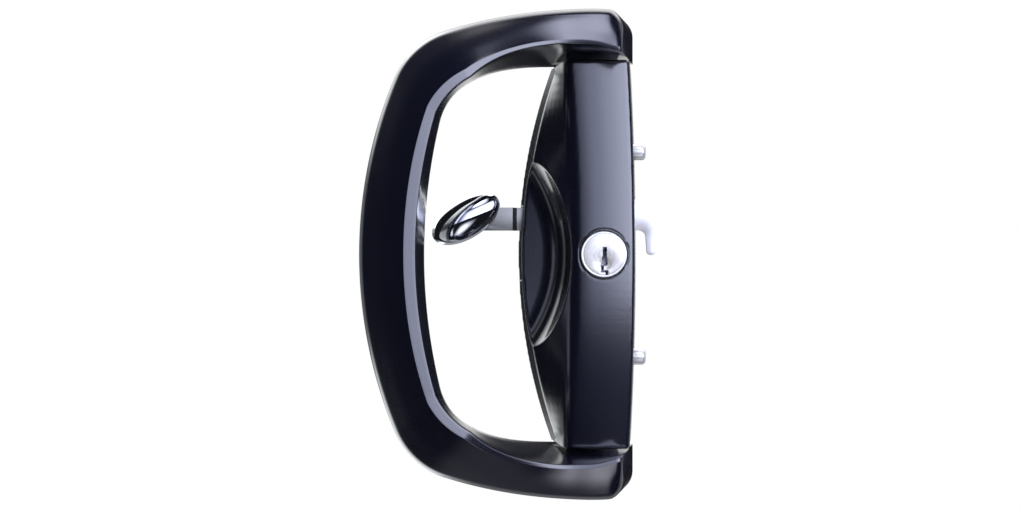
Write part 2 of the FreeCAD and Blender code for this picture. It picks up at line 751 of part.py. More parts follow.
def cylinder_housing():
    """The cylinder's body: a round nose and two ribs, the upper one drilled for the pins."""
    nose = rod(NOSE_R, CYLINDER_X, (-CYLINDER_FACE, -CYLINDER_BACK), CYLINDER_Z)
    sides = (CYLINDER_X - RIB_HALF_WIDTH, CYLINDER_X + RIB_HALF_WIDTH)
    rib = block(sides, (-RIB_FRONT, -CYLINDER_BACK), (CYLINDER_Z - RIB_BOTTOM, CYLINDER_Z + RIB_TOP))
    upper = block(sides, (-RIB_FRONT, -PLATE_THICK), (CYLINDER_Z + LUG_START, CYLINDER_Z + RIB_TOP))
    lug = block(sides, (-LUG_FRONT, -PLATE_THICK), (CYLINDER_Z + LUG_START, CYLINDER_Z + LUG_TOP))
    lower = block(sides, (-RIB_FRONT, -PLATE_THICK), (CYLINDER_Z - RIB_BOTTOM, CYLINDER_Z - LUG_START))
    body = nose.fuse([rib, upper, lug, lower]).removeSplitter()
    corners = [e for e in body.Edges if is_rib_corner(e)]
    body = body.makeFillet(RIB_HALF_WIDTH / 3, corners)
    body = body.cut(rod(PLUG_R + PLUG_GAP, CYLINDER_X, (-FAR, 0), CYLINDER_Z))
    for y in pin_depths():
        body = body.cut(upright(PIN_R + PIN_GAP, CYLINDER_X, y, (CYLINDER_Z, CYLINDER_Z + FAR)))
    for x, z in cylinder_screw_places():
        body = body.cut(rod(CASE_SCREW_R, x, (-CASE_SCREW_LENGTH - BEYOND, BEYOND), z))
    return body.cut(chamber_strip(0.0))


def is_rib_corner(edge):
    """Whether an edge is one of the ribs' outer corners, square to the door."""
    box = edge.BoundBox
    outside = abs(box.Center.z - CYLINDER_Z) > LUG_START
    return outside and box.YLength > CAP_THICK and box.XLength < SMALL and box.ZLength < SMALL


def chamber_strip(shrink):
    """The strip that closes the pin chambers at the top of the rib."""
    half = PIN_R + 4 * PIN_GAP - shrink
    depths = pin_depths()
    top = CYLINDER_Z + RIB_TOP
    return block(
        (CYLINDER_X - half, CYLINDER_X + half),
        (depths[0] - PIN_R + shrink - PIN_GAP, depths[-1] + PIN_R - shrink + PIN_GAP),
        (top - CAP_THICK, top),
    )


def chamber_cap():
    return chamber_strip(CAP_GAP)


def key_pin_foot(i):
    """Where key pin i ends in the keyway, as for a key with these cuts."""
    return KEY_PIN_FOOT + KEY_CUT_STEP * (i * 2 % PIN_COUNT)


def key_pins():
    pins = []
    for i, y in enumerate(pin_depths()):
        low = CYLINDER_Z + key_pin_foot(i)
        high = CYLINDER_Z + PLUG_R - 4 * PIN_GAP
        tip = Part.makeCone(PIN_R / 2, PIN_R, PIN_R / 2, Vector(CYLINDER_X, y, low), Vector(0, 0, 1))
        pins.append(tip.fuse(upright(PIN_R, CYLINDER_X, y, (low + PIN_R / 2, high))).removeSplitter())
    return group(pins)


def driver_top():
    return CYLINDER_Z + PLUG_R + PIN_GAP * 2 + DRIVER_LENGTH


def driver_pins():
    low = CYLINDER_Z + PLUG_R + PIN_GAP * 2
    return group([upright(PIN_R, CYLINDER_X, y, (low, driver_top())) for y in pin_depths()])


def pin_springs():
    """Small coil springs of square wire between each driver pin and the cap."""
    springs = []
    base = driver_top() + SPRING_WIRE / 2
    height = CYLINDER_Z + RIB_TOP - CAP_THICK - SPRING_WIRE / 2 - base
    radius = PIN_R - SPRING_WIRE
    steps = SPRING_TURNS * 8
    half = SPRING_WIRE / 2
    square = [(-half, -half), (half, -half), (half, half), (-half, half)]
    for y in pin_depths():
        wires = []
        for i in range(steps + 1):
            angle = i * math.pi / 4
            out = Vector(math.cos(angle), math.sin(angle), 0)
            middle = Vector(CYLINDER_X, y, base + height * i / steps) + out * radius
            ring = [middle + out * across + Vector(0, 0, up) for across, up in square]
            wires.append(Part.makePolygon(ring + ring[:1]))
        springs.append(Part.makeLoft(wires, True, True))
    return group(springs)


def keyway():
    """The warded key slot's outline: corners (x, z) from the plug's centre."""
    open_end = -PLUG_R - BEYOND
    return [
        (KEYWAY_NECK_LEFT, KEYWAY_TOP),
        (KEYWAY_NECK_RIGHT, KEYWAY_TOP),
        (KEYWAY_NECK_RIGHT, KEYWAY_NECK_END),
        (KEYWAY_BODY_RIGHT, KEYWAY_NECK_END - KEYWAY_WARD),
        (KEYWAY_BODY_RIGHT, KEYWAY_WARD_TOP),
        (KEYWAY_WARD_LEFT, KEYWAY_WARD_TOP),
        (KEYWAY_WARD_LEFT, KEYWAY_WARD_END),
        (KEYWAY_TAIL_RIGHT, KEYWAY_WARD_END),
        (KEYWAY_TAIL_RIGHT, open_end),
        (KEYWAY_TAIL_LEFT, open_end),
        (KEYWAY_TAIL_LEFT, KEYWAY_JOG),
        (KEYWAY_BODY_LEFT, KEYWAY_JOG),
        (KEYWAY_BODY_LEFT, KEYWAY_WAIST_END - KEYWAY_WARD),
        (KEYWAY_WAIST, KEYWAY_WAIST_END),
        (KEYWAY_WAIST, KEYWAY_NECK_END),
        (KEYWAY_NECK_LEFT, KEYWAY_NECK_END + KEYWAY_WARD),
    ]


def key_plug():
    """The turning plug, with its keyway, pin chambers, dimple and flatted tail."""
    plug = rod(PLUG_R, CYLINDER_X, (-CYLINDER_FACE, -CYLINDER_BACK), CYLINDER_Z)
    outline = [(CYLINDER_X + x, CYLINDER_Z + z) for x, z in keyway()]
    slot = plain_face(outline, -FAR).extrude(Vector(0, FAR - CYLINDER_BACK - BEYOND, 0))
    dimple_depths = (-CYLINDER_FACE, -CYLINDER_FACE + DIMPLE_DEPTH)
    dimple = cone(DIMPLE_R, DIMPLE_R / 2, CYLINDER_X + DIMPLE_X, dimple_depths, CYLINDER_Z + DIMPLE_Z)
    plug = plug.cut(slot).cut(dimple)
    for i, y in enumerate(pin_depths()):
        low = CYLINDER_Z + key_pin_foot(i) - PIN_GAP
        plug = plug.cut(upright(PIN_R + PIN_GAP, CYLINDER_X, y, (low, CYLINDER_Z + PLUG_R + BEYOND)))
    screw_depths = (-CYLINDER_BACK - CAM_SCREW_LENGTH - CAM_GAP, 0)
    plug = plug.fuse(tail(0)).cut(rod(CAM_SCREW_R, CYLINDER_X, screw_depths, CYLINDER_Z))
    return plug.removeSplitter()


def tail(growth):
    """The plug's tail: round with two flats."""
    depths = (-CYLINDER_BACK - BEYOND / 2, cam_back())
    across = TAIL_FLAT + growth
    flats = block((CYLINDER_X - across, CYLINDER_X + across), depths, (CYLINDER_Z - FAR, CYLINDER_Z + FAR))
    return rod(TAIL_R + growth, CYLINDER_X, depths, CYLINDER_Z).common(flats)


def cam_back():
    return -CYLINDER_BACK + CAM_GAP + CAM_THICK


def tail_cam():
    """The cam on the plug's tail. Its nose points down, and a quarter turn brings it to the snib's shoe."""
    depths = (-CYLINDER_BACK + CAM_GAP, cam_back())
    hub = rod(CAM_HUB_R, CYLINDER_X, depths, CYLINDER_Z)
    tip_z = CYLINDER_Z - CAM_NOSE_R + CAM_NOSE_HALF_WIDTH
    sides = (CYLINDER_X - CAM_NOSE_HALF_WIDTH, CYLINDER_X + CAM_NOSE_HALF_WIDTH)
    nose = block(sides, depths, (tip_z, CYLINDER_Z)).fuse(rod(CAM_NOSE_HALF_WIDTH, CYLINDER_X, depths, tip_z))
    return hub.fuse(nose).cut(tail(SMALL / 2)).removeSplitter()


def cam_screw():
    """The screw that holds the cam on the plug's tail."""
    head = rod(CAM_SCREW_HEAD_R, CYLINDER_X, (cam_back(), cam_back() + CAM_SCREW_HEAD), CYLINDER_Z)
    shank = rod(CAM_SCREW_R - SMALL, CYLINDER_X, (-CYLINDER_BACK - CAM_SCREW_LENGTH, cam_back()), CYLINDER_Z)
    return head.fuse(shank).removeSplitter()


def snib_lever():
    """The flat lever: a shoe inside the cover, an arm out through the slot and a jog up to the knob."""
    half = LEVER_HEIGHT / 2
    profile = [
        (LEVER_RIGHT_X, -LEVER_BACK), (LEVER_RIGHT_X, -LEVER_FRONT), (JOG_START_X, -LEVER_FRONT),
        (JOG_START_X - JOG_RUN, -ARM_FRONT), (LEVER_LEFT_X, -ARM_FRONT), (LEVER_LEFT_X, -ARM_BACK),
        (JOG_START_X - JOG_RUN - LEVER_THICK / 2, -ARM_BACK), (JOG_START_X - LEVER_THICK / 2, -LEVER_BACK),
    ]
    points = [Vector(x, y, SNIB_Z - half) for x, y in profile]
    arm = Part.Face(Part.makePolygon(points + points[:1])).extrude(Vector(0, 0, LEVER_HEIGHT))
    shoe_ends = (SNIB_Z - SHOE_HALF_HEIGHT, SNIB_Z + SHOE_HALF_HEIGHT)
    shoe = block((SHOE_LEFT_X, LEVER_RIGHT_X), (-LEVER_FRONT, -LEVER_BACK), shoe_ends)
    lever = arm.fuse(shoe).removeSplitter()
    lever = lever.cut(rod(POST_R + POST_GAP, POST_X, (-FAR, BEYOND), SNIB_Z))
    return lever.cut(rod(KNOB_RIVET_R + POST_GAP, KNOB_X, (-FAR, BEYOND), SNIB_Z))


def snib_knob():
    """The oval domed knob, set askew on the lever's arm."""
    long = KNOB_HALF_LENGTH
    skirt = KNOB_SKIRT
    rim = long - KNOB_BEVEL
    top = skirt + KNOB_BEVEL + KNOB_DOME
    shoulder = Vector(rim, 0, skirt + KNOB_BEVEL)
    crown_r = (rim**2 + KNOB_DOME**2) / (2 * KNOB_DOME)
    half_angle = math.asin(rim / crown_r) / 2
    middle = Vector(crown_r * math.sin(half_angle), 0, top - crown_r + crown_r * math.cos(half_angle))
    edges = [
        Part.LineSegment(Vector(0, 0, 0), Vector(rim, 0, 0)).toShape(),
        Part.LineSegment(Vector(rim, 0, 0), Vector(long, 0, KNOB_BEVEL / 2)).toShape(),
        Part.LineSegment(Vector(long, 0, KNOB_BEVEL / 2), Vector(long, 0, skirt)).toShape(),
        Part.LineSegment(Vector(long, 0, skirt), shoulder).toShape(),
        Part.Arc(shoulder, middle, Vector(0, 0, top)).toShape(),
        Part.LineSegment(Vector(0, 0, top), Vector(0, 0, 0)).toShape(),
    ]
    knob = Part.Face(Part.Wire(edges)).revolve(Vector(0, 0, 0), Vector(0, 0, 1), 360)
    squeeze = FreeCAD.Matrix()
    squeeze.A22 = KNOB_HALF_WIDTH / KNOB_HALF_LENGTH
    knob = knob.transformGeometry(squeeze)
    knob.rotate(Vector(0, 0, 0), Vector(0, 0, 1), KNOB_TILT)
    knob.rotate(Vector(0, 0, 0), Vector(1, 0, 0), 90)
    knob.translate(Vector(KNOB_X, -ARM_FRONT, SNIB_Z))
    hole = rod(KNOB_RIVET_R + POST_GAP, KNOB_X, (-ARM_FRONT - KNOB_RIVET_DEPTH, 0), SNIB_Z)
    return knob.cut(hole)


def knob_rivet():
    shank = rod(KNOB_RIVET_R, KNOB_X, (-ARM_FRONT - KNOB_RIVET_DEPTH + SMALL, -ARM_BACK), SNIB_Z)
    head = rod(KNOB_RIVET_HEAD_R, KNOB_X, (-ARM_BACK, -ARM_BACK + KNOB_RIVET_HEAD), SNIB_Z)
    return shank.fuse(head).removeSplitter()


def drive_post():
    """The stepped post that carries the snib's movement through the plate to the rack."""
    post = rod(POST_R, POST_X, (-LEVER_FRONT, HOOK_BACK), SNIB_Z)
    collar = rod(POST_HEAD_R - 2 * POST_GAP, POST_X, (CASE_WALL + LEVER_GAP, HOOK_FRONT), SNIB_Z)
    return post.fuse(collar).removeSplitter()


def rack_bar():
    """The toothed bar that turns the hook as the snib slides."""
    root_x = PITCH_X - DEDENDUM
    tip_x = PITCH_X + ADDENDUM
    slope = math.tan(math.radians(PRESSURE_ANGLE))
    half_pitch_line = TOOTH_PITCH / 4 - BACKLASH / 2
    half_root = half_pitch_line + DEDENDUM * slope
    half_tip = half_pitch_line - ADDENDUM * slope
    depth = Vector(0, HOOK_THICK, 0)
    bar = block((RACK_BACK_X, root_x), (HOOK_FRONT, HOOK_BACK), (RACK_BOTTOM_Z, RACK_TOP_Z))
    for k in range(-1, rack_tooth_count() - 1):
        z = HOOK_Z + (k + 0.5) * TOOTH_PITCH
        outline = [
            (root_x - SMALL, z - half_root), (root_x, z - half_root), (tip_x, z - half_tip),
            (tip_x, z + half_tip), (root_x, z + half_root), (root_x - SMALL, z + half_root),
        ]
        bar = bar.fuse(plain_face(outline, HOOK_FRONT).extrude(depth))
    bar = bar.cut(rod(POST_R + POST_GAP, POST_X, (-FAR, FAR), SNIB_Z))
    return bar.removeSplitter()


def rack_tooth_count():
    return int(math.ceil(SNIB_TRAVEL / TOOTH_PITCH)) + 2


def tooth_half_angle(radius):
    """Half the angle that an involute tooth of the pinion takes up at a radius."""
    pressure = math.radians(PRESSURE_ANGLE)
    base = PINION_R * math.cos(pressure)
    at = math.acos(min(1.0, base / radius))
    at_pitch = (TOOTH_PITCH / 4 - BACKLASH / 2) / PINION_R
    return at_pitch + (math.tan(pressure) - pressure) - (math.tan(at) - at)


def from_hook(radius, angle):
    return (HOOK_X + radius * math.cos(angle), HOOK_Z + radius * math.sin(angle))


def pinion_tooth(angle):
    """One tooth of the hook's pinion: corners (x, z)."""
    base = PINION_R * math.cos(math.radians(PRESSURE_ANGLE))
    root = PINION_R - DEDENDUM
    radii = [root - SMALL * 4, base, PINION_R, PINION_R + ADDENDUM / 2, PINION_R + ADDENDUM]
    left = [from_hook(r, angle + tooth_half_angle(max(r, base))) for r in radii]
    right = [from_hook(r, angle - tooth_half_angle(max(r, base))) for r in reversed(radii)]
    return left + right


def hook_blade():
    """The hook's flat outline: its corners (x, z) from the pivot, with a rounding for each."""
    tip = HOOK_REACH
    inner = HOOK_REACH - HOOK_NOSE_WIDTH
    corners = [
        (-HOOK_HUB_R, HOOK_HUB_R - HOOK_HUB_FALL),
        (HOOK_CREST_X, HOOK_NECK_TOP + HOOK_CREST_RISE),
        (tip - HOOK_SHOULDER_INSET, HOOK_NECK_TOP - HOOK_SHOULDER_DROP),
        (tip, 0.0),
        (tip - HOOK_TIP_TAPER, -HOOK_NOSE_DROP),
        (inner - HOOK_BARB_TAPER, -HOOK_NOSE_DROP),
        (inner - 2 * HOOK_BARB_TAPER, -HOOK_NECK_BOTTOM),
        (HOOK_HUB_R, -HOOK_NECK_BOTTOM - HOOK_HUB_DROP),
        (0.0, -HOOK_HUB_R),
        (-HOOK_HUB_R, 0.0),
    ]
    nose = [HOOK_SHOULDER_R, HOOK_BEND_R, HOOK_TIP_R, HOOK_BARB_R, HOOK_THROAT_R]
    hub = [HOOK_HUB_EDGE_R] * 3
    radii = [HOOK_HUB_EDGE_R, HOOK_TOP_R, *nose, *hub]
    return [(HOOK_X + x, HOOK_Z + z) for x, z in corners], radii


def hook_bolt():
    """The hook: a flat blade with a pinion sector on its hub."""
    depth = Vector(0, HOOK_THICK, 0)
    corners, radii = hook_blade()
    hook = front_face(corners, radii, HOOK_FRONT).extrude(depth)
    hook = hook.fuse(rod(HOOK_HUB_R, HOOK_X, (HOOK_FRONT, HOOK_BACK), HOOK_Z))
    step = TOOTH_PITCH / PINION_R
    turns = rack_tooth_count()
    first = math.pi + step
    last = math.pi - (turns - 1) * step
    root = PINION_R - DEDENDUM
    fan = [(HOOK_X, HOOK_Z)]
    for i in range(2 * turns + 3):
        fan.append(from_hook(FAR, blend(first + step / 3, last - step / 3, i / (2 * turns + 2))))
    sector = plain_face(fan, HOOK_FRONT).extrude(depth)
    hook = hook.fuse(rod(root, HOOK_X, (HOOK_FRONT, HOOK_BACK), HOOK_Z).common(sector))
    for j in range(-1, turns):
        hook = hook.fuse(plain_face(pinion_tooth(math.pi - j * step), HOOK_FRONT).extrude(depth))
    return hook.cut(rod(PIVOT_R + PIVOT_GAP, HOOK_X, (-FAR, FAR), HOOK_Z)).removeSplitter()


def hook_pivot():
    """The hook's pivot pin, with a collar on each side that keeps the hook in the middle of the case."""
    pin = rod(PIVOT_R, HOOK_X, (CASE_WALL, CASE_DEPTH - CASE_WALL), HOOK_Z)
    front = rod(2 * PIVOT_R, HOOK_X, (CASE_WALL, HOOK_FRONT - SMALL), HOOK_Z)
    back = rod(2 * PIVOT_R, HOOK_X, (HOOK_BACK + SMALL, CASE_DEPTH - CASE_WALL), HOOK_Z)
    return pin.fuse([front, back]).removeSplitter()


def hook_window(depths):
    """The space that the hook swings through in the case's front wall and the faceplate."""
    reach = math.hypot(HOOK_REACH, HOOK_NOSE_DROP)
    rise = math.sqrt(reach**2 - (CASE_INNER_RIGHT - HOOK_X) ** 2)
    low = HOOK_Z - HOOK_NECK_BOTTOM - HOOK_HUB_DROP - HOOK_GAP
    return block(depths, (HOOK_FRONT - HOOK_GAP, HOOK_BACK + HOOK_GAP), (low, HOOK_Z + rise + HOOK_GAP))


def lock_case():
    """The case: a folded tray with lugs for the faceplate's screws."""
    outer = block((CASE_LEFT_X, CASE_RIGHT_X), (CASE_WALL, CASE_DEPTH), (-CASE_HALF_HEIGHT, CASE_HALF_HEIGHT))
    folds = [e for e in outer.Edges if e.BoundBox.YMin > CASE_DEPTH - SMALL]
    outer = outer.makeFillet(CASE_FOLD_R, folds)
    heights = (CASE_WALL - CASE_HALF_HEIGHT, CASE_HALF_HEIGHT - CASE_WALL)
    case = outer.cut(block((CASE_INNER_LEFT, CASE_INNER_RIGHT), (0, CASE_DEPTH - CASE_WALL), heights))
    for z in (-FACEPLATE_SCREW_Z, FACEPLATE_SCREW_Z):
        sides = (CASE_INNER_RIGHT - CASE_LUG_LENGTH, CASE_INNER_RIGHT)
        heights = (z - CASE_LUG_HALF, z + CASE_LUG_HALF)
        case = case.fuse(block(sides, (CASE_MIDDLE - CASE_LUG_HALF, CASE_DEPTH - CASE_WALL), heights))
        case = case.cut(cross_rod(FACEPLATE_SCREW_R + SMALL, (0, FAR), CASE_MIDDLE, z))
    case = case.cut(hook_window((CASE_INNER_RIGHT - BEYOND, FAR)))
    return case.removeSplitter()


def case_lid():
    """The flat lid between the case and the base plate, slotted for the drive post."""
    lid = block((CASE_LEFT_X, CASE_RIGHT_X), (0, CASE_WALL), (-CASE_HALF_HEIGHT, CASE_HALF_HEIGHT))
    for x, z in SPACERS:
        lid = lid.cut(rod(CASE_SCREW_R + SMALL, x, (-BEYOND, FAR), z))
    lid = lid.cut(slot_through(POST_R + SLOT_GAP, (-BEYOND, CASE_WALL + BEYOND)))
    return lid


def case_spacers():
    """Tapped spacers between the lid and the back of the case."""
    spacers = []
    for x, z in SPACERS:
        spacer = rod(SPACER_R, x, (CASE_WALL, CASE_DEPTH - CASE_WALL), z)
        spacers.append(spacer.cut(rod(CASE_SCREW_R, x, (0, CASE_SCREW_LENGTH + BEYOND), z)))
    return group(spacers)


def faceplate():
    """The plate on the door's edge, with the hook's window and two screw holes."""
    plate = block(
        (CASE_RIGHT_X, FACEPLATE_FRONT_X),
        (FACEPLATE_EDGE, CASE_DEPTH - FACEPLATE_EDGE),
        (-FACEPLATE_HALF_HEIGHT, FACEPLATE_HALF_HEIGHT),
    )
    through = [e for e in plate.Edges if abs(e.BoundBox.XLength - FACEPLATE_THICK) < SMALL]
    plate = plate.makeFillet(FACEPLATE_CORNER_R, through)
    plate = plate.cut(hook_window((0, FAR)))
    for z in (-FACEPLATE_SCREW_Z, FACEPLATE_SCREW_Z):
        plate = plate.cut(cross_rod(FACEPLATE_SCREW_R + SMALL, (0, FAR), CASE_MIDDLE, z))
    return plate


def faceplate_screws():
    """Two pan-head screws on the door's edge."""
    screws = []
    for z in (-FACEPLATE_SCREW_Z, FACEPLATE_SCREW_Z):
        front = FACEPLATE_FRONT_X
        head = cross_rod(FACEPLATE_HEAD_R, (front, front + FACEPLATE_HEAD), CASE_MIDDLE, z)
        rim = [e for e in head.Edges if e.BoundBox.XMin > front + FACEPLATE_HEAD - SMALL]
        head = head.makeFillet(FACEPLATE_HEAD_ROUND, rim)
        tip = CASE_INNER_RIGHT - CASE_LUG_LENGTH + BEYOND
        screw = head.fuse(cross_rod(FACEPLATE_SCREW_R, (tip, front), CASE_MIDDLE, z))
        arm = FACEPLATE_HEAD_R * RECESS_REACH
        wide = FACEPLATE_HEAD_R * RECESS_WIDTH
        deep = (front + FACEPLATE_HEAD / 2, front + FACEPLATE_HEAD + BEYOND)
        level = block(deep, (CASE_MIDDLE - arm, CASE_MIDDLE + arm), (z - wide, z + wide))
        upright_bar = block(deep, (CASE_MIDDLE - wide, CASE_MIDDLE + wide), (z - arm, z + arm))
        screws.append(screw.cut(level).cut(upright_bar).removeSplitter())
    return group(screws)


def rack_guides():
    """Two nylon guides that the rack slides in, open towards the hook."""
    guides = []
    for z in (GUIDE_LOWER_Z, GUIDE_UPPER_Z):
        heights = (z - GUIDE_LENGTH / 2, z + GUIDE_LENGTH / 2)
        sides = (CASE_INNER_LEFT, PITCH_X - DEDENDUM - SLOT_GAP)
        guide = block(sides, (CASE_WALL, CASE_DEPTH - CASE_WALL), heights)
        gap = (HOOK_FRONT - GUIDE_GAP, HOOK_BACK + GUIDE_GAP)
        guides.append(guide.cut(block((RACK_BACK_X - GUIDE_GAP, FAR), gap, (-FAR, FAR))))
    return group(guides)


def brake_spring():
    """A bowed leaf spring between the case's wall and the rack, whose rub keeps the snib where it is put."""
    wall = CASE_INNER_LEFT
    touch = wall + BRAKE_THICK + BRAKE_BOW

    def strip(offset):
        return [
            Vector(wall + offset, 0, BRAKE_Z - BRAKE_HALF_LENGTH),
            Vector(touch - BRAKE_THICK + offset, 0, BRAKE_Z),
            Vector(wall + offset, 0, BRAKE_Z + BRAKE_HALF_LENGTH),
        ]

    outer = strip(BRAKE_THICK)
    inner = strip(0)
    edges = [
        Part.Arc(*outer).toShape(),
        Part.LineSegment(outer[2], inner[2]).toShape(),
        Part.Arc(*reversed(inner)).toShape(),
        Part.LineSegment(inner[0], outer[0]).toShape(),
    ]
    leaf = Part.Face(Part.Wire(edges)).extrude(Vector(0, 2 * BRAKE_HALF_WIDTH, 0))
    leaf.translate(Vector(0, CASE_MIDDLE - BRAKE_HALF_WIDTH, 0))
    return leaf


PIECES = {
    "pull_handle": pull_handle,
    "cover": cover,
    "base_plate": base_plate,
    "plate_screws": plate_screws,
    "cover_screws": cover_screws,
    "cylinder_screws": cylinder_screws,
    "case_screws": case_screws,
    "cylinder_housing": cylinder_housing,
    "chamber_cap": chamber_cap,
    "driver_pins": driver_pins,
    "pin_springs": pin_springs,
    "key_plug": key_plug,
    "key_pins": key_pins,
    "tail_cam": tail_cam,
    "cam_screw": cam_screw,
    "snib_lever": snib_lever,
    "snib_knob": snib_knob,
    "knob_rivet": knob_rivet,
    "drive_post": drive_post,
    "rack_bar": rack_bar,
    "hook_bolt": hook_bolt,
    "hook_pivot": hook_pivot,
    "lock_case": lock_case,
    "case_lid": case_lid,
    "case_spacers": case_spacers,
    "faceplate": faceplate,
    "faceplate_screws": faceplate_screws,
    "rack_guides": rack_guides,
    "brake_spring": brake_spring,
}


def main():
    os.makedirs("parts", exist_ok=True)
    for name, make in PIECES.items():
        shape = make()
        shape.exportStep(os.path.join("parts", name + ".step"))
        print(name, "solids", len(shape.Solids), "valid", shape.isValid(), "volume", round(shape.Volume, 1))


main()
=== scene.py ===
"""Sliding door lock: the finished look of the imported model.

The D handle, the cover and the knob are modelled here with the sizes of their solids. The metal pieces are
merged copies of their solids with broken edges. Sizes are in millimetres until a mesh is placed.
"""

import logging
import math
from collections.abc import Callable, Sequence
from dataclasses import dataclass, field
from enum import Enum

import bmesh
import bpy
from mathutils import Matrix, Vector


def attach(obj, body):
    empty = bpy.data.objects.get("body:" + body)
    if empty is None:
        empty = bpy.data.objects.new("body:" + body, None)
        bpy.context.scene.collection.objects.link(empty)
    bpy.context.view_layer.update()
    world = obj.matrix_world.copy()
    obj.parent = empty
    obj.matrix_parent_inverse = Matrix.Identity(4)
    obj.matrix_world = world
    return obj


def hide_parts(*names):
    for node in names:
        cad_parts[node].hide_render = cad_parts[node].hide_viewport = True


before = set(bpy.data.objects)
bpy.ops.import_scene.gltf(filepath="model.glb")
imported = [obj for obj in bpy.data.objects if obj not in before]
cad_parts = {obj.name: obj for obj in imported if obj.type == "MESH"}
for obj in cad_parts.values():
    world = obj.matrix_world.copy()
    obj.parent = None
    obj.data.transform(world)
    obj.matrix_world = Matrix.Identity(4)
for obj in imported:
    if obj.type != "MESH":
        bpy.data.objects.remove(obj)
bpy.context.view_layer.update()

LOG = logging.getLogger("door_lock")
MM = 0.001

# The photograph's frame and the camera that took it, in pixels and millimetres
PHOTO_WIDTH = 1020
FOCAL_PIXELS = 2374.0
CAMERA_DISTANCE = 760.0
CAMERA_X = -26.25
CAMERA_Z = -0.2
SENSOR_WIDTH = 36.0

# Sockets that Blender numbers instead of naming apart
FROM_MIN, FROM_MAX, TO_MIN, TO_MAX = 1, 2, 3, 4
MIX_SHARE, MIX_A, MIX_B, MIX_RESULT = 0, 6, 7, 2

# How the finishes' patterns are scaled
DRAWN_OUT = 40
GRAINS_PER_RING = 20
CLOUD_SCALE = 60.0

Ring = list[Vector]
Span = tuple[float, float]


def linear(hex_colour: str) -> tuple[float, float, float, float]:
    """Turns an sRGB hex colour into the linear colour that a shader takes.

    Args:
        hex_colour: Six hex digits after a hash sign.

    Returns:
        Red, green, blue and an alpha of 1.
    """
    parts = [int(hex_colour[i : i + 2], 16) / 255 for i in (1, 3, 5)]
    bent = [c / 12.92 if c <= 0.04045 else ((c + 0.055) / 1.055) ** 2.4 for c in parts]
    return (bent[0], bent[1], bent[2], 1.0)


def add_node(
    tree: bpy.types.NodeTree, kind: str, inputs: dict | None = None, **settings: object
) -> bpy.types.Node:
    """Adds a node with its settings and links.

    Args:
        tree: The node tree it goes into.
        kind: Blender's name for the node's type.
        inputs: For each input's name or number, a value or the socket that feeds it.
        **settings: Properties of the node itself.

    Returns:
        The new node.
    """
    made = tree.nodes.new(kind)
    for name, value in settings.items():
        setattr(made, name, value)
    for key, value in (inputs or {}).items():
        if isinstance(value, bpy.types.NodeSocket):
            tree.links.new(value, made.inputs[key])
        else:
            made.inputs[key].default_value = value
    return made


class Texture(Enum):
    """How a finish's surface was made, which sets its pattern."""

    ORANGE_PEEL = "orange peel"
    BRUSHED = "brushed"
    TURNED = "turned"
    BARREL = "barrel finished"
    MOULDED = "moulded"


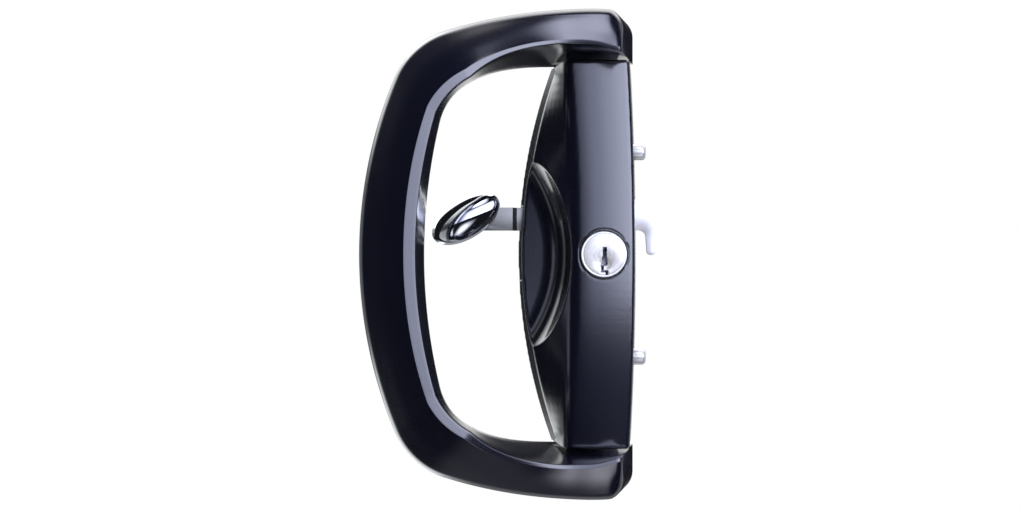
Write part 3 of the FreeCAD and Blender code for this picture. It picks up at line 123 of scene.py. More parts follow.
@dataclass(frozen=True)
class Finish:
    """A surface finish: its colours, its gloss and the pattern that its making left.

    Attributes:
        name: The material's name.
        colour: Main colour.
        shade: Second colour, which the pattern brings in.
        roughness: Middle roughness.
        spread: How far the pattern moves the roughness each way.
        metallic: 1 for bare or plated metal, 0 for paint and plastic.
        texture: How the surface was made.
        grain: Size of the pattern in millimetres.
        relief: Depth of the pattern in millimetres.
        coat: Weight of a clear gloss layer.
        coat_roughness: The gloss layer's roughness.
        coat_ior: The gloss layer's index of refraction.
        centre: Where a turned pattern is centred, in millimetres.
    """

    name: str
    colour: str
    shade: str
    roughness: float
    spread: float
    metallic: float
    texture: Texture
    grain: float
    relief: float
    coat: float = 0.0
    coat_roughness: float = 0.14
    coat_ior: float = 1.5
    centre: tuple[float, float, float] = (0.0, 0.0, 0.0)

    def pattern(self, tree: bpy.types.NodeTree, place: bpy.types.NodeSocket) -> bpy.types.NodeSocket:
        """Adds the nodes of the finish's pattern.

        Args:
            tree: The material's node tree.
            place: The object coordinates.

        Returns:
            A socket with the pattern's height from 0 to 1.
        """
        fine = 1 / (self.grain * MM)
        shift = tuple(-c * MM for c in self.centre)
        moved = add_node(tree, "ShaderNodeMapping", {"Vector": place, "Location": shift}).outputs[0]
        if self.texture is Texture.BRUSHED:
            stretch = (fine / DRAWN_OUT, fine, fine)
            drawn = add_node(tree, "ShaderNodeMapping", {"Vector": moved, "Scale": stretch}).outputs[0]
            fibres = {"Vector": drawn, "Scale": 1.0, "Detail": 3.0}
            return add_node(tree, "ShaderNodeTexNoise", fibres).outputs[0]
        if self.texture is Texture.TURNED:
            spacing = fine / GRAINS_PER_RING
            rings = {"Vector": moved, "Scale": spacing, "Distortion": 0.4, "Detail": 2.0, "Detail Scale": 2.0}
            wave = add_node(tree, "ShaderNodeTexWave", rings, wave_type="RINGS", rings_direction="Y")
            return wave.outputs["Fac"]
        detail = 2.0 if self.texture is Texture.ORANGE_PEEL else 5.0
        grains = {"Vector": moved, "Scale": fine, "Detail": detail}
        return add_node(tree, "ShaderNodeTexNoise", grains).outputs[0]

    def build(self) -> bpy.types.Material:
        """Makes the material.

        Returns:
            The new material.
        """
        material = bpy.data.materials.new(self.name)
        material.use_nodes = True
        tree = material.node_tree
        tree.nodes.clear()
        place = add_node(tree, "ShaderNodeTexCoord").outputs["Object"]
        height = self.pattern(tree, place)
        clouds = {"Vector": place, "Scale": CLOUD_SCALE, "Detail": 3.0}
        broad = add_node(tree, "ShaderNodeTexNoise", clouds).outputs[0]
        colours = {MIX_SHARE: broad, MIX_A: linear(self.colour), MIX_B: linear(self.shade)}
        mixed = add_node(tree, "ShaderNodeMix", colours, data_type="RGBA")
        limits = {"Value": height, TO_MIN: self.roughness - self.spread, TO_MAX: self.roughness + self.spread}
        rough = add_node(tree, "ShaderNodeMapRange", limits)
        depth = self.relief * MM
        bump = add_node(tree, "ShaderNodeBump", {"Height": height, "Strength": 1.0, "Distance": depth})
        shader = add_node(
            tree,
            "ShaderNodeBsdfPrincipled",
            {
                "Base Color": mixed.outputs[MIX_RESULT],
                "Roughness": rough.outputs[0],
                "Metallic": self.metallic,
                "Normal": bump.outputs[0],
                "Coat Weight": self.coat,
                "Coat Roughness": self.coat_roughness,
                "Coat IOR": self.coat_ior,
                "Coat Normal": bump.outputs[0],
            },
        )
        add_node(tree, "ShaderNodeOutputMaterial", {"Surface": shader.outputs[0]})
        return material


# Gloss black polyester powder coat on a casting: it flows into a faint orange peel
POWDER_COAT = Finish(
    "gloss_black_powder_coat", "#070918", "#090b1b", 0.22, 0.03, 0.0, Texture.ORANGE_PEEL, 1.1, 0.006,
    coat=1.0, coat_ior=1.85,
)
# Bright chrome on a polished casting: almost no grain, cool white
BRIGHT_CHROME = Finish(
    "bright_chrome_plate", "#eceef2", "#dfe2e8", 0.07, 0.02, 1.0, Texture.BARREL, 0.6, 0.0006
)
# Satin chrome on turned brass: fine rings that spread the light
SATIN_CHROME = Finish(
    "satin_chrome_on_turned_brass", "#f6f6fa", "#ececf1", 0.3, 0.04, 0.62, Texture.TURNED, 0.25, 0.0004,
    centre=(3.0, 0.0, 0.0),
)
# Satin nickel on steel strip: a grain along the strip, middle grey
SATIN_NICKEL = Finish(
    "satin_nickel_on_strip", "#959590", "#898984", 0.42, 0.06, 1.0, Texture.BRUSHED, 0.12, 0.001
)
# Pale nickel on a pressed steel hook and its screws: tumbled smooth
PALE_NICKEL = Finish(
    "pale_nickel_on_pressed_steel", "#f4f4f8", "#ebebf1", 0.36, 0.03, 0.75, Texture.BARREL, 0.5, 0.0005
)
# Bright zinc plate on sheet steel: bluish, with a soft cloudy gloss
ZINC_PLATE = Finish(
    "bright_zinc_plate", "#c3c8d0", "#b3b5b4", 0.42, 0.08, 0.6, Texture.BARREL, 0.8, 0.0015
)
# Blackened spring steel: dark and a little blue
SPRING_STEEL = Finish(
    "tempered_spring_steel", "#6d7178", "#5b6070", 0.32, 0.05, 1.0, Texture.BARREL, 0.5, 0.001
)
# Turned brass: warm, with a fine grain
TURNED_BRASS = Finish(
    "turned_brass", "#d2ab5c", "#c39a4c", 0.3, 0.05, 1.0, Texture.BARREL, 0.3, 0.001
)
# Natural nylon: milky white and dull
NATURAL_NYLON = Finish(
    "natural_nylon", "#e6e4da", "#dedbd0", 0.5, 0.05, 0.0, Texture.MOULDED, 0.6, 0.002
)


def deselect() -> None:
    """Leaves every object unselected, in object mode."""
    if bpy.context.object and bpy.context.object.mode != "OBJECT":
        bpy.ops.object.mode_set(mode="OBJECT")
    bpy.ops.object.select_all(action="DESELECT")


def activate(piece: bpy.types.Object) -> None:
    """Makes a piece the only selected object and the active one."""
    deselect()
    piece.select_set(True)
    bpy.context.view_layer.objects.active = piece


def apply_modifier(piece: bpy.types.Object, kind: str, **settings: object) -> None:
    """Adds a modifier to a piece and applies it.

    Args:
        piece: The object that gets it.
        kind: Blender's name for the modifier's type.
        **settings: The modifier's properties.
    """
    activate(piece)
    modifier = piece.modifiers.new(kind.lower(), kind)
    for name, value in settings.items():
        setattr(modifier, name, value)
    bpy.ops.object.modifier_apply(modifier=modifier.name)


def sweep(name: str, rings: Sequence[Ring]) -> bpy.types.Object:
    """Models a closed form by extruding a filled circle from ring to ring.

    Args:
        name: The piece's name.
        rings: Loops of points in millimetres, all with the same count and turned the same way.

    Returns:
        The new object, with its place in its mesh and its faces pointing outwards.
    """
    deselect()
    bpy.ops.mesh.primitive_circle_add(vertices=len(rings[0]), radius=MM, fill_type="NGON")
    piece = bpy.context.object
    piece.name = name
    bpy.ops.object.mode_set(mode="EDIT")
    for number, ring in enumerate(rings):
        if number:
            bpy.ops.mesh.extrude_region_move()
        mesh = bmesh.from_edit_mesh(piece.data)
        corners = [loop.vert for face in mesh.faces if face.select for loop in face.loops]
        for vertex, point in zip(corners, ring, strict=True):
            vertex.co = point * MM
        bmesh.update_edit_mesh(piece.data)
    bpy.ops.mesh.select_all(action="SELECT")
    bpy.ops.mesh.normals_make_consistent(inside=False)
    bpy.ops.object.mode_set(mode="OBJECT")
    return piece


def box(name: str, x: Span, y: Span, z: Span) -> bpy.types.Object:
    """Models a block between pairs of limits in millimetres."""
    corners = [(x[0], z[0]), (x[1], z[0]), (x[1], z[1]), (x[0], z[1])]
    return sweep(name, [[Vector((a, depth, b)) for a, b in corners] for depth in y])


def round_bar(name: str, radius: float, x: float, y: Span, z: float, sides: int) -> bpy.types.Object:
    """Models a round bar square to the door between two depths in millimetres."""
    turns = [math.tau * i / sides for i in range(sides)]
    around = [(x + radius * math.cos(t), z + radius * math.sin(t)) for t in turns]
    return sweep(name, [[Vector((a, depth, b)) for a, b in around] for depth in y])


def combine(piece: bpy.types.Object, tool: bpy.types.Object, how: str) -> None:
    """Joins a tool to a piece or cuts it away, and deletes the tool.

    Args:
        piece: The object that is changed.
        tool: The closed mesh that changes it.
        how: UNION, DIFFERENCE or INTERSECT.
    """
    apply_modifier(piece, "BOOLEAN", object=tool, operation=how, solver="EXACT")
    bpy.data.objects.remove(tool, do_unlink=True)


def smooth_by_angle(piece: bpy.types.Object, degrees: float) -> None:
    """Shades a piece smooth, with edges sharper than an angle kept crisp."""
    activate(piece)
    bpy.ops.object.shade_smooth_by_angle(angle=math.radians(degrees))


def dress(piece: bpy.types.Object, material: bpy.types.Material) -> None:
    """Gives a piece its one material."""
    piece.data.materials.clear()
    piece.data.materials.append(material)


def eased(share: float) -> float:
    """A share from 0 to 1, eased at both ends."""
    share = min(1.0, max(0.0, share))
    return share * share * (3 - 2 * share)


def blend(start: float, end: float, share: float) -> float:
    """The value at a share of the way from start to end."""
    return start + (end - start) * share


def rounding(radius: float, distance: float) -> float:
    """How far an edge of this radius has drawn in, at a distance from the face that it rounds."""
    left = max(0.0, radius - distance)
    return radius - math.sqrt(radius**2 - left**2)


def rounded_outline(
    corners: Sequence[tuple[float, float]], radii: Sequence[float], place: Callable[[float, float], Vector]
) -> Ring:
    """Points round a flat outline with rounded corners.

    Args:
        corners: The outline's corners.
        radii: A rounding for each corner, 0 for a sharp one.
        place: Turns a flat point into a point in space.

    Returns:
        The points, the same number for any outline with the same corners.
    """
    arc_steps = 7
    side_steps = 3
    share_limit = 0.47
    points = [Vector(corner) for corner in corners]
    flat: list[Vector] = []
    for i, here in enumerate(points):
        back = points[i - 1] - here
        ahead = points[(i + 1) % len(points)] - here
        half = back.angle(ahead) / 2
        reach = min(radii[i] / math.tan(half), share_limit * min(back.length, ahead.length))
        radius = reach * math.tan(half)
        if radius:
            centre = here + (back.normalized() + ahead.normalized()).normalized() * (radius / math.sin(half))
            start = here + back.normalized() * reach - centre
            turn = math.pi - 2 * half
            if start.to_3d().cross((here + ahead.normalized() * reach - centre).to_3d()).z < 0:
                turn = -turn
            arc = [centre + Matrix.Rotation(turn * k / arc_steps, 2) @ start for k in range(arc_steps + 1)]
        else:
            arc = [here.copy()]
        flat += arc
        following = points[(i + 1) % len(points)]
        after = points[(i + 2) % len(points)] - following
        next_half = (here - following).angle(after) / 2
        next_reach = min(
            radii[(i + 1) % len(points)] / math.tan(next_half),
            share_limit * min((here - following).length, after.length),
        )
        goal = following + (here - following).normalized() * next_reach
        flat += [arc[-1].lerp(goal, k / (side_steps + 1)) for k in range(1, side_steps + 1)]
    return [place(point.x, point.y) for point in flat]


@dataclass(frozen=True)
class Bow:
    """Half of a handle outline seen from the front: an arm arc, a corner arc and a grip arc, each tangent.

    Attributes:
        apex_x: Where the arm is highest.
        apex_z: How high the arm is there.
        arm_r: The arm's radius.
        grip_x: Where the grip's middle is.
        grip_r: The grip's radius.
        corner_r: The corner's radius.
        end_r: The radius of the arm beyond its apex: inwards, or outwards if negative.
    """

    apex_x: float
    apex_z: float
    arm_r: float
    grip_x: float
    grip_r: float
    corner_r: float
    end_r: float

    @property
    def corner_centre(self) -> Vector:
        """The centre of the corner arc."""
        arm_centre = Vector((self.apex_x, 0, self.apex_z - self.arm_r))
        line = Vector((self.grip_x + self.grip_r, 0, 0)) - arm_centre
        span = line.length
        line.normalize()
        to_arm = self.arm_r - self.corner_r
        to_grip = self.grip_r - self.corner_r
        along = (to_arm**2 - to_grip**2 + span**2) / (2 * span)
        return arm_centre + line * along + Vector((-line.z, 0, line.x)) * math.sqrt(to_arm**2 - along**2)

    def corner(self, share: float) -> Vector:
        """A point of the corner, from the arm's end at 0 to the grip's end at 1."""
        centre = self.corner_centre
        from_arm = centre - Vector((self.apex_x, 0, self.apex_z - self.arm_r))
        from_grip = centre - Vector((self.grip_x + self.grip_r, 0, 0))
        angle = blend(math.atan2(from_arm.z, from_arm.x), math.atan2(from_grip.z, from_grip.x), share)
        return centre + Vector((math.cos(angle), 0, math.sin(angle))) * self.corner_r

    def arm(self, x: float) -> Vector:
        """The point of the arm above x."""
        aside = x - self.apex_x
        radius = self.arm_r if aside < 0 else self.end_r
        fall = math.copysign(abs(radius) - math.sqrt(radius**2 - aside**2), radius)
        return Vector((x, 0, self.apex_z - fall))

    def grip(self, share: float) -> Vector:
        """A point of the grip, from the corner's end at 0 to the middle at 1."""
        height = self.corner(1).z * (1 - share)
        return Vector((self.grip_x + self.grip_r - math.sqrt(self.grip_r**2 - height**2), 0, height))


@dataclass
class PullHandle:
    """The cast D handle, with the sizes of its solid in millimetres."""

    half_height: float = 76.0
    grip_reach: float = 72.5
    grip_face_width: float = 15.9
    grip_width: float = 20.0
    arm_face_height: float = 11.0
    foot_height: float = 16.25
    crest_apex_x: float = -6.5
    arm_projection: float = 33.0
    grip_projection: float = 46.0
    arm_face_fall: float = 5.5
    grip_face_fall: float = 11.5
    grip_back: float = 27.0
    arm_rise_length: float = 30.0
    foot_edge_x: float = -15.5
    foot_end_x: float = 13.0
    foot_end_lean: float = 0.15
    foot_end_lean_length: float = 16.0
    end_top_r: float = 6.0
    end_front_r: float = 1.2
    arm_land: float = 1.3
    grip_land: float = 3.6
    land_tilt: float = 0.1
    land_edge_r: float = 0.3
    face_crown: float = 0.7
    face_crown_r: float = 45.0
    outer_edge_r: float = 4.5
    grip_back_r: float = 5.0
    foot_back_r: float = 1.2
    grip_tuck: float = 0.9
    fixing_z: float = 69.5
    fixing_hole_r: float = 2.1
    fixing_hole_depth: float = 16.0
    fixing_hole_sides: int = 48
    plate_seat_half_width: float = 8.15
    plate_seat_depth: float = 1.35
    plate_seat_heights: Span = (50.0, 66.0)
    crisp_angle: float = 32.0
    beyond: float = 1.0

    def bows(self) -> list[Bow]:
        """The inner outline, the crest and the outer outline."""
        inner = Bow(
            apex_x=-15.0,
            apex_z=self.half_height - self.foot_height,
            arm_r=48.5,
            grip_x=-self.grip_reach + self.grip_width,
            grip_r=182.0,
            corner_r=19.0,
            end_r=-400.0,
        )
        crest = Bow(
            apex_x=self.crest_apex_x,
            apex_z=self.half_height - self.arm_face_height,
            arm_r=62.0,
            grip_x=-self.grip_reach + self.grip_face_width,
            grip_r=178.0,
            corner_r=17.0,
            end_r=85.0,
        )
        outer = Bow(
            apex_x=0.0,
            apex_z=self.half_height,
            arm_r=146.0,
            grip_x=-self.grip_reach,
            grip_r=141.0,
            corner_r=25.0,
            end_r=146.0,
        )
        return [inner, crest, outer]

    def section(self, inner: Vector, crest: Vector, outer: Vector, end_distance: float) -> Ring:
        """One section of the handle.

        Args:
            inner: The section's point of the inner outline.
            crest: Its point of the crest.
            outer: Its point of the outer outline.
            end_distance: How far it is from the foot's end face, whose edges are rounded.

        Returns:
            The points round the section.
        """
        across = (outer - inner).normalized()
        width = (outer - inner).length - rounding(self.end_top_r, end_distance)
        span = self.crest_apex_x + self.grip_reach - self.grip_face_width
        to_grip = eased((self.crest_apex_x - crest.x) / span)
        to_back = eased((self.foot_edge_x - inner.x) / self.arm_rise_length)
        projection = blend(self.arm_projection, self.grip_projection, to_grip)
        front = rounding(self.end_front_r, end_distance) - projection
        fall = blend(self.arm_face_fall, self.grip_face_fall, to_grip)
        back = blend(self.beyond, -self.grip_back, to_back)
        crest_at = (crest - inner).dot(across)
        land = blend(self.arm_land, self.grip_land, to_grip**4)
        corners = [
            (-self.grip_tuck * to_back, back),
            (crest_at - land / 2, front + land * self.land_tilt),
            (crest_at + land / 2, front),
            ((crest_at + land / 2 + width) / 2, front + fall / 2 - self.face_crown),
            (width, front + fall),
            (width, back),
        ]
        back_r = blend(self.foot_back_r, self.grip_back_r, to_back)
        radii = [back_r, self.land_edge_r, self.land_edge_r, self.face_crown_r, self.outer_edge_r, back_r]
        lean = self.foot_end_lean * (1 - eased((self.foot_end_x - inner.x) / self.foot_end_lean_length))
        return rounded_outline(corners, radii, lambda a, b: inner + across * a + Vector((b * lean, b, 0)))

    def rings(self) -> list[Ring]:
        """All sections from the upper foot's end face round to the lower foot's."""
        bows = self.bows()
        end_steps = 7
        arm_steps = 24
        corner_steps = 16
        grip_steps = 18
        top: list[Ring] = []
        for i in range(end_steps):
            distance = self.end_top_r * (1 - math.cos(math.pi / 2 * i / end_steps))
            top.append(self.section(*[b.arm(self.foot_end_x - distance) for b in bows], distance))
        start = self.foot_end_x - self.end_top_r
        far = self.half_height
        for i in range(arm_steps):
            share = i / arm_steps
            top.append(self.section(*[b.arm(blend(start, b.corner(0).x, share)) for b in bows], far))
        for i in range(corner_steps):
            top.append(self.section(*[b.corner(i / corner_steps) for b in bows], far))
        for i in range(grip_steps):
            top.append(self.section(*[b.grip(i / grip_steps) for b in bows], far))
        middle = self.section(*[b.grip(1) for b in bows], far)
        mirror = [[Vector((p.x, p.y, -p.z)) for p in ring] for ring in reversed(top)]
        return [*top, middle, *mirror]

    def build(self, coat: bpy.types.Material) -> bpy.types.Object:
        """Models the handle and puts it in place of its solid.

        Args:
            coat: The powder coat.

        Returns:
            The finished piece.
        """
        piece = sweep("d_handle", self.rings())
        activate(piece)
        bpy.ops.object.mode_set(mode="EDIT")
        bpy.ops.mesh.select_all(action="SELECT")
        bpy.ops.mesh.bisect(plane_co=(0, 0, 0), plane_no=(0, 1, 0), use_fill=True, clear_outer=True)
        bpy.ops.object.mode_set(mode="OBJECT")
        hole_depths = (-self.fixing_hole_depth, self.beyond)
        seat_depths = (-self.plate_seat_depth, self.beyond)
        seat_width = (-self.plate_seat_half_width, self.plate_seat_half_width)
        for sign in (-1, 1):
            z = sign * self.fixing_z
            drill = round_bar("drill", self.fixing_hole_r, 0.0, hole_depths, z, self.fixing_hole_sides)
            combine(piece, drill, "DIFFERENCE")
            low, high = sorted(sign * height for height in self.plate_seat_heights)
            combine(piece, box("seat", seat_width, seat_depths, (low, high)), "DIFFERENCE")
        smooth_by_angle(piece, self.crisp_angle)
        dress(piece, coat)
        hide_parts("pull_handle")
        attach(piece, "lock")
        return piece


@dataclass
class Cover:
    """The cast cover with its finger scoop, with the sizes of its solid in millimetres."""

    half_height: float = 59.35
    end_lean: float = 0.1
    left_x: float = -23.8
    left_r: float = 172.0
    right_x: float = 14.1
    right_r: float = 1100.0
    crest: float = 20.6
    crest_fall: float = 3.0
    left_edge: float = 9.5
    left_draft: float = 2.3
    right_draft: float = 1.4
    ridge_x: float = -6.2
    ridge_sweep: float = 3.1
    ridge_drop: float = 0.9
    right_drop: float = 0.8
    ridge_r: float = 9.0
    left_edge_r: float = 1.0
    right_edge_r: float = 1.6
    crown_r: float = 52.0
    wall: float = 2.0
    end_r: float = 1.0
    scoop_floor_lean: float = 8.0
    scoop_right_x: float = -7.2
    scoop_r: float = 51.5
    scoop_floor: float = 4.8
    scoop_fillet_r: float = 9.5
    scoop_wall: float = 1.5
    scoop_width: float = 24.0
    scoop_half_turn: float = 62.0
    scoop_steps: int = 72
    fillet_steps: int = 10
    nose_x: float = 3.0
    nose_hole_r: float = 7.45
    nose_hole_sides: int = 96
    slot_heights: Span = (-8.35, 15.25)
    slot_depths: Span = (-3.3, -1.2)
    post_x: float = 1.0
    post_z: float = 46.0
    post_r: float = 3.2
    post_sides: int = 40
    beyond: float = 1.0
    voxel: float = 0.42
    smoothing: float = 0.5
    smoothing_rounds: int = 4
    crisp_angle: float = 60.0

    def section(self, z: float, lean: float, inset: float, drawn_in: float) -> Ring:
        """The cover's section at a height.

        Args:
            z: The height.
            lean: How far the section leans outwards for each millimetre towards the front.
            inset: How far it is drawn in by the wall, 0 for the outside.
            drawn_in: How far the front is rounded away there.

        Returns:
            The points round the section.
        """
        crest = self.crest - self.crest_fall * (z / self.half_height) ** 2 - drawn_in
        left = self.left_x + self.left_r - math.sqrt(self.left_r**2 - z**2)
        right = self.right_x - self.right_r + math.sqrt(self.right_r**2 - z**2)
        ridge = self.ridge_x - self.ridge_sweep * (z / self.half_height) ** 2
        shoulder = right - self.right_draft
        corners = [
            (right - inset, self.beyond),
            (left + inset, self.beyond),
            (left + self.left_draft + inset, -self.left_edge),
            (ridge, -crest + self.ridge_drop + inset),
            (blend(ridge, shoulder, 0.25), -crest + self.ridge_drop / 4 + inset),
            (blend(ridge, shoulder, 0.5), -crest + inset),
            (blend(ridge, shoulder, 0.75), -crest + self.right_drop / 4 + inset),
            (shoulder - inset, -crest + self.right_drop + inset),
        ]
        radii = [0.0, 0.0, self.left_edge_r, self.ridge_r, *[self.crown_r] * 3, self.right_edge_r]
        return rounded_outline(corners, radii, lambda a, b: Vector((a, b, z - b * lean)))

    def body(self, name: str, inset: float) -> bpy.types.Object:
        """The cover's outer form, or its hollow when inset is the wall.

        Args:
            name: The object's name.
            inset: How far the form is drawn in.

        Returns:
            The closed form.
        """
        end = self.half_height - inset
        end_steps = 6
        body_steps = 44
        rings: list[Ring] = []
        for i in range(end_steps):
            near = self.end_r * (1 - math.cos(math.pi / 2 * i / end_steps))
            drawn_in = 0.0 if inset else rounding(self.end_r, near)
            rings.append(self.section(end - near, self.end_lean, inset, drawn_in))
        start = end - self.end_r
        for i in range(body_steps + 1):
            z = blend(start, -start, i / body_steps)
            rings.append(self.section(z, self.end_lean * z / end, inset, 0.0))
        for i in reversed(range(end_steps)):
            near = self.end_r * (1 - math.cos(math.pi / 2 * i / end_steps))
            drawn_in = 0.0 if inset else rounding(self.end_r, near)
            rings.append(self.section(near - end, -self.end_lean, inset, drawn_in))
        return sweep(name, rings)

    def scoop(self, name: str, growth: float) -> bpy.types.Object:
        """The part of the scoop's ring that meets the cover, grown on all sides.

        Args:
            name: The object's name.
            growth: How far it is grown.

        Returns:
            The closed form, an arc of a ring about an axis square to the door.
        """
        outer = self.scoop_r + growth
        fillet = self.scoop_fillet_r + growth
        inside = self.scoop_r - self.scoop_width
        centre_x = self.scoop_right_x - self.scoop_r
        lean = math.radians(self.scoop_floor_lean)
        turns = [(math.pi / 2 - lean) * i / self.fillet_steps for i in range(self.fillet_steps + 1)]
        arc = [(outer - fillet * (1 - math.cos(t)), -fillet * (1 - math.sin(t))) for t in turns]
        fall = math.tan(lean)
        floor = growth - self.scoop_floor - arc[-1][1] - fall * (arc[-1][0] - self.left_x + centre_x)
        clear_y = -3 * self.crest
        profile = [(inside, clear_y), (outer, clear_y)]
        profile += [(reach, floor + y) for reach, y in arc]
        profile += [(inside, floor + arc[-1][1] + fall * (arc[-1][0] - inside))]
        half_turn = math.radians(self.scoop_half_turn)
        rings: list[Ring] = []
        for i in range(self.scoop_steps + 1):
            angle = blend(-half_turn, half_turn, i / self.scoop_steps)
            across = Vector((math.cos(angle), 0, math.sin(angle)))
            rings.append([Vector((centre_x, 0, 0)) + across * r + Vector((0, y, 0)) for r, y in profile])
        return sweep(name, rings)

    def build(self, coat: bpy.types.Material) -> bpy.types.Object:
        """Models the cover and puts it in place of its solid.

        Args:
            coat: The powder coat.

        Returns:
            The finished piece.
        """
        piece = self.body("scooped_cover", 0.0)
        combine(piece, self.scoop("scoop", 0.0), "DIFFERENCE")
        hollow = self.body("hollow", self.wall)
        combine(hollow, self.scoop("scoop_wall", self.scoop_wall), "DIFFERENCE")
        combine(piece, hollow, "DIFFERENCE")
        post_depths = (self.crest_fall - self.crest, 0.0)
        for sign in (-1, 1):
            z = sign * self.post_z
            post = round_bar("post", self.post_r, self.post_x, post_depths, z, self.post_sides)
            combine(piece, post, "UNION")
        hole_depths = (-2 * self.crest, 0.0)
        hole = round_bar("hole", self.nose_hole_r, self.nose_x, hole_depths, 0.0, self.nose_hole_sides)
        combine(piece, hole, "DIFFERENCE")
        slot_x = (self.left_x - self.beyond, self.left_x + 3 * self.wall)
        combine(piece, box("slot", slot_x, self.slot_depths, self.slot_heights), "DIFFERENCE")
        reach = 2 * self.half_height
        door = box("door", (-reach, reach), (0.0, 2 * self.beyond), (-reach, reach))
        combine(piece, door, "DIFFERENCE")
        apply_modifier(piece, "REMESH", mode="VOXEL", voxel_size=self.voxel * MM)
        apply_modifier(piece, "SMOOTH", factor=self.smoothing, iterations=self.smoothing_rounds)
        smooth_by_angle(piece, self.crisp_angle)
        dress(piece, coat)
        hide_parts("cover")
        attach(piece, "lock")
        return piece


@dataclass
class SnibKnob:
    """The oval domed knob, with the sizes of its solid in millimetres."""

    x: float = -40.2
    z: float = 11.2
    base_y: float = -7.25
    half_length: float = 12.0
    half_width: float = 6.2
    tilt: float = 32.0
    skirt: float = 1.9
    bevel: float = 1.0
    dome: float = 3.1
    edge_r: float = 0.25
    edge_share: float = 0.3
    pole_reach: float = 0.02
    crown_steps: int = 13
    sides: int = 72
    crisp_angle: float = 24.0

    def profile(self) -> list[tuple[float, float]]:
        """Points (reach, height) of the knob's half outline along its length, from the back to the crown."""
        rim = self.half_length - self.bevel
        shoulder = self.skirt + self.bevel
        full = self.half_length
        near = self.edge_r * self.edge_share
        points = [(self.pole_reach, 0.0), (rim / 2, 0.0), (rim - self.edge_r, 0.0), (rim, near)]
        points += [(full - near, self.bevel / 2), (full, self.bevel / 2 + self.edge_r)]
        points += [(full, self.skirt - self.edge_r), (full - near, self.skirt), (rim + near, shoulder - near)]
        crown_r = (rim**2 + self.dome**2) / (2 * self.dome)
        widest = math.asin(rim / crown_r)
        for i in range(self.crown_steps):
            angle = widest * (1 - i / (self.crown_steps - 0.5))
            height = shoulder + self.dome - crown_r * (1 - math.cos(angle))
            points.append((crown_r * math.sin(angle), height))
        return points

    def build(self, chrome: bpy.types.Material) -> bpy.types.Object:
        """Models the knob and puts it in place of its solid.

        Args:
            chrome: The bright chrome.

        Returns:
            The finished piece.
        """
        turns = [math.tau * i / self.sides for i in range(self.sides)]
        squeeze = self.half_width / self.half_length
        lean = math.radians(self.tilt)
        rings: list[Ring] = []
        for reach, height in self.profile():
            ring = []
            for turn in turns:
                a = reach * math.cos(turn)
                b = reach * math.sin(turn) * squeeze
                across = a * math.cos(lean) - b * math.sin(lean)
                up = a * math.sin(lean) + b * math.cos(lean)
                ring.append(Vector((self.x + across, self.base_y - height, self.z + up)))
            rings.append(ring)
        piece = sweep("oval_knob", rings)
        smooth_by_angle(piece, self.crisp_angle)
        dress(piece, chrome)
        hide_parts("snib_knob")
        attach(piece, "snib")
        return piece


@dataclass(frozen=True)
class MachinedPiece:
    """A metal piece that keeps its solid's form and gets broken edges.

    Attributes:
        node: The solid's name.
        body: The body it rides on.
        slot: The record's material slot; not used.
        finish: The finish.
        break_width: How wide its sharp edges are broken, in millimetres.
        sharp_angle: Edges sharper than this, in degrees, are broken.
        crisp_angle: Edges sharper than this, in degrees, aren't shaded smooth.
        merge_distance: Corners closer than this, in millimetres, become one.
        flat_angle: Faces that meet at less than this, in degrees, become one.
    """

    node: str
    body: str
    slot: str
    finish: Finish
    break_width: float
    sharp_angle: float = 35.0
    crisp_angle: float = 30.0
    merge_distance: float = 0.002
    flat_angle: float = 0.5

    def build(self, material: bpy.types.Material) -> bpy.types.Object:
        """Copies the solid's mesh, merges it and breaks its edges.

        Args:
            material: The finish's material.

        Returns:
            The finished piece.
        """
        deselect()
        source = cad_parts[self.node]
        piece = bpy.data.objects.new(f"{self.node}_finished", source.data.copy())
        bpy.context.scene.collection.objects.link(piece)
        activate(piece)
        bpy.ops.object.mode_set(mode="EDIT")
        bpy.ops.mesh.select_all(action="SELECT")
        bpy.ops.mesh.remove_doubles(threshold=self.merge_distance * MM)
        bpy.ops.mesh.dissolve_limited(angle_limit=math.radians(self.flat_angle))
        bpy.ops.object.mode_set(mode="OBJECT")
        apply_modifier(
            piece,
            "BEVEL",
            width=self.break_width * MM,
            segments=2,
            limit_method="ANGLE",
            angle_limit=math.radians(self.sharp_angle),
            use_clamp_overlap=True,
        )
        apply_modifier(piece, "TRIANGULATE")
        smooth_by_angle(piece, self.crisp_angle)
        dress(piece, material)
        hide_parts(self.node)
        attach(piece, self.body)
        return piece


# Metal pieces that get broken edges
MACHINED = (
    MachinedPiece("cylinder_housing", "lock", "cylinder_chrome", SATIN_CHROME, 0.15),
    MachinedPiece("key_plug", "plug", "cylinder_chrome", SATIN_CHROME, 0.1),
    MachinedPiece("snib_lever", "snib", "pale_steel", SATIN_NICKEL, 0.2),
    MachinedPiece("hook_bolt", "hook", "hook_steel", PALE_NICKEL, 0.25),
    MachinedPiece("faceplate", "lock", "pale_steel", SATIN_NICKEL, 0.2),
    MachinedPiece("faceplate_screws", "lock", "hook_steel", PALE_NICKEL, 0.08),
    MachinedPiece("base_plate", "lock", "zinc_plated", ZINC_PLATE, 0.1),
    MachinedPiece("lock_case", "lock", "zinc_plated", ZINC_PLATE, 0.1),
    MachinedPiece("case_lid", "lock", "zinc_plated", ZINC_PLATE, 0.1),
)

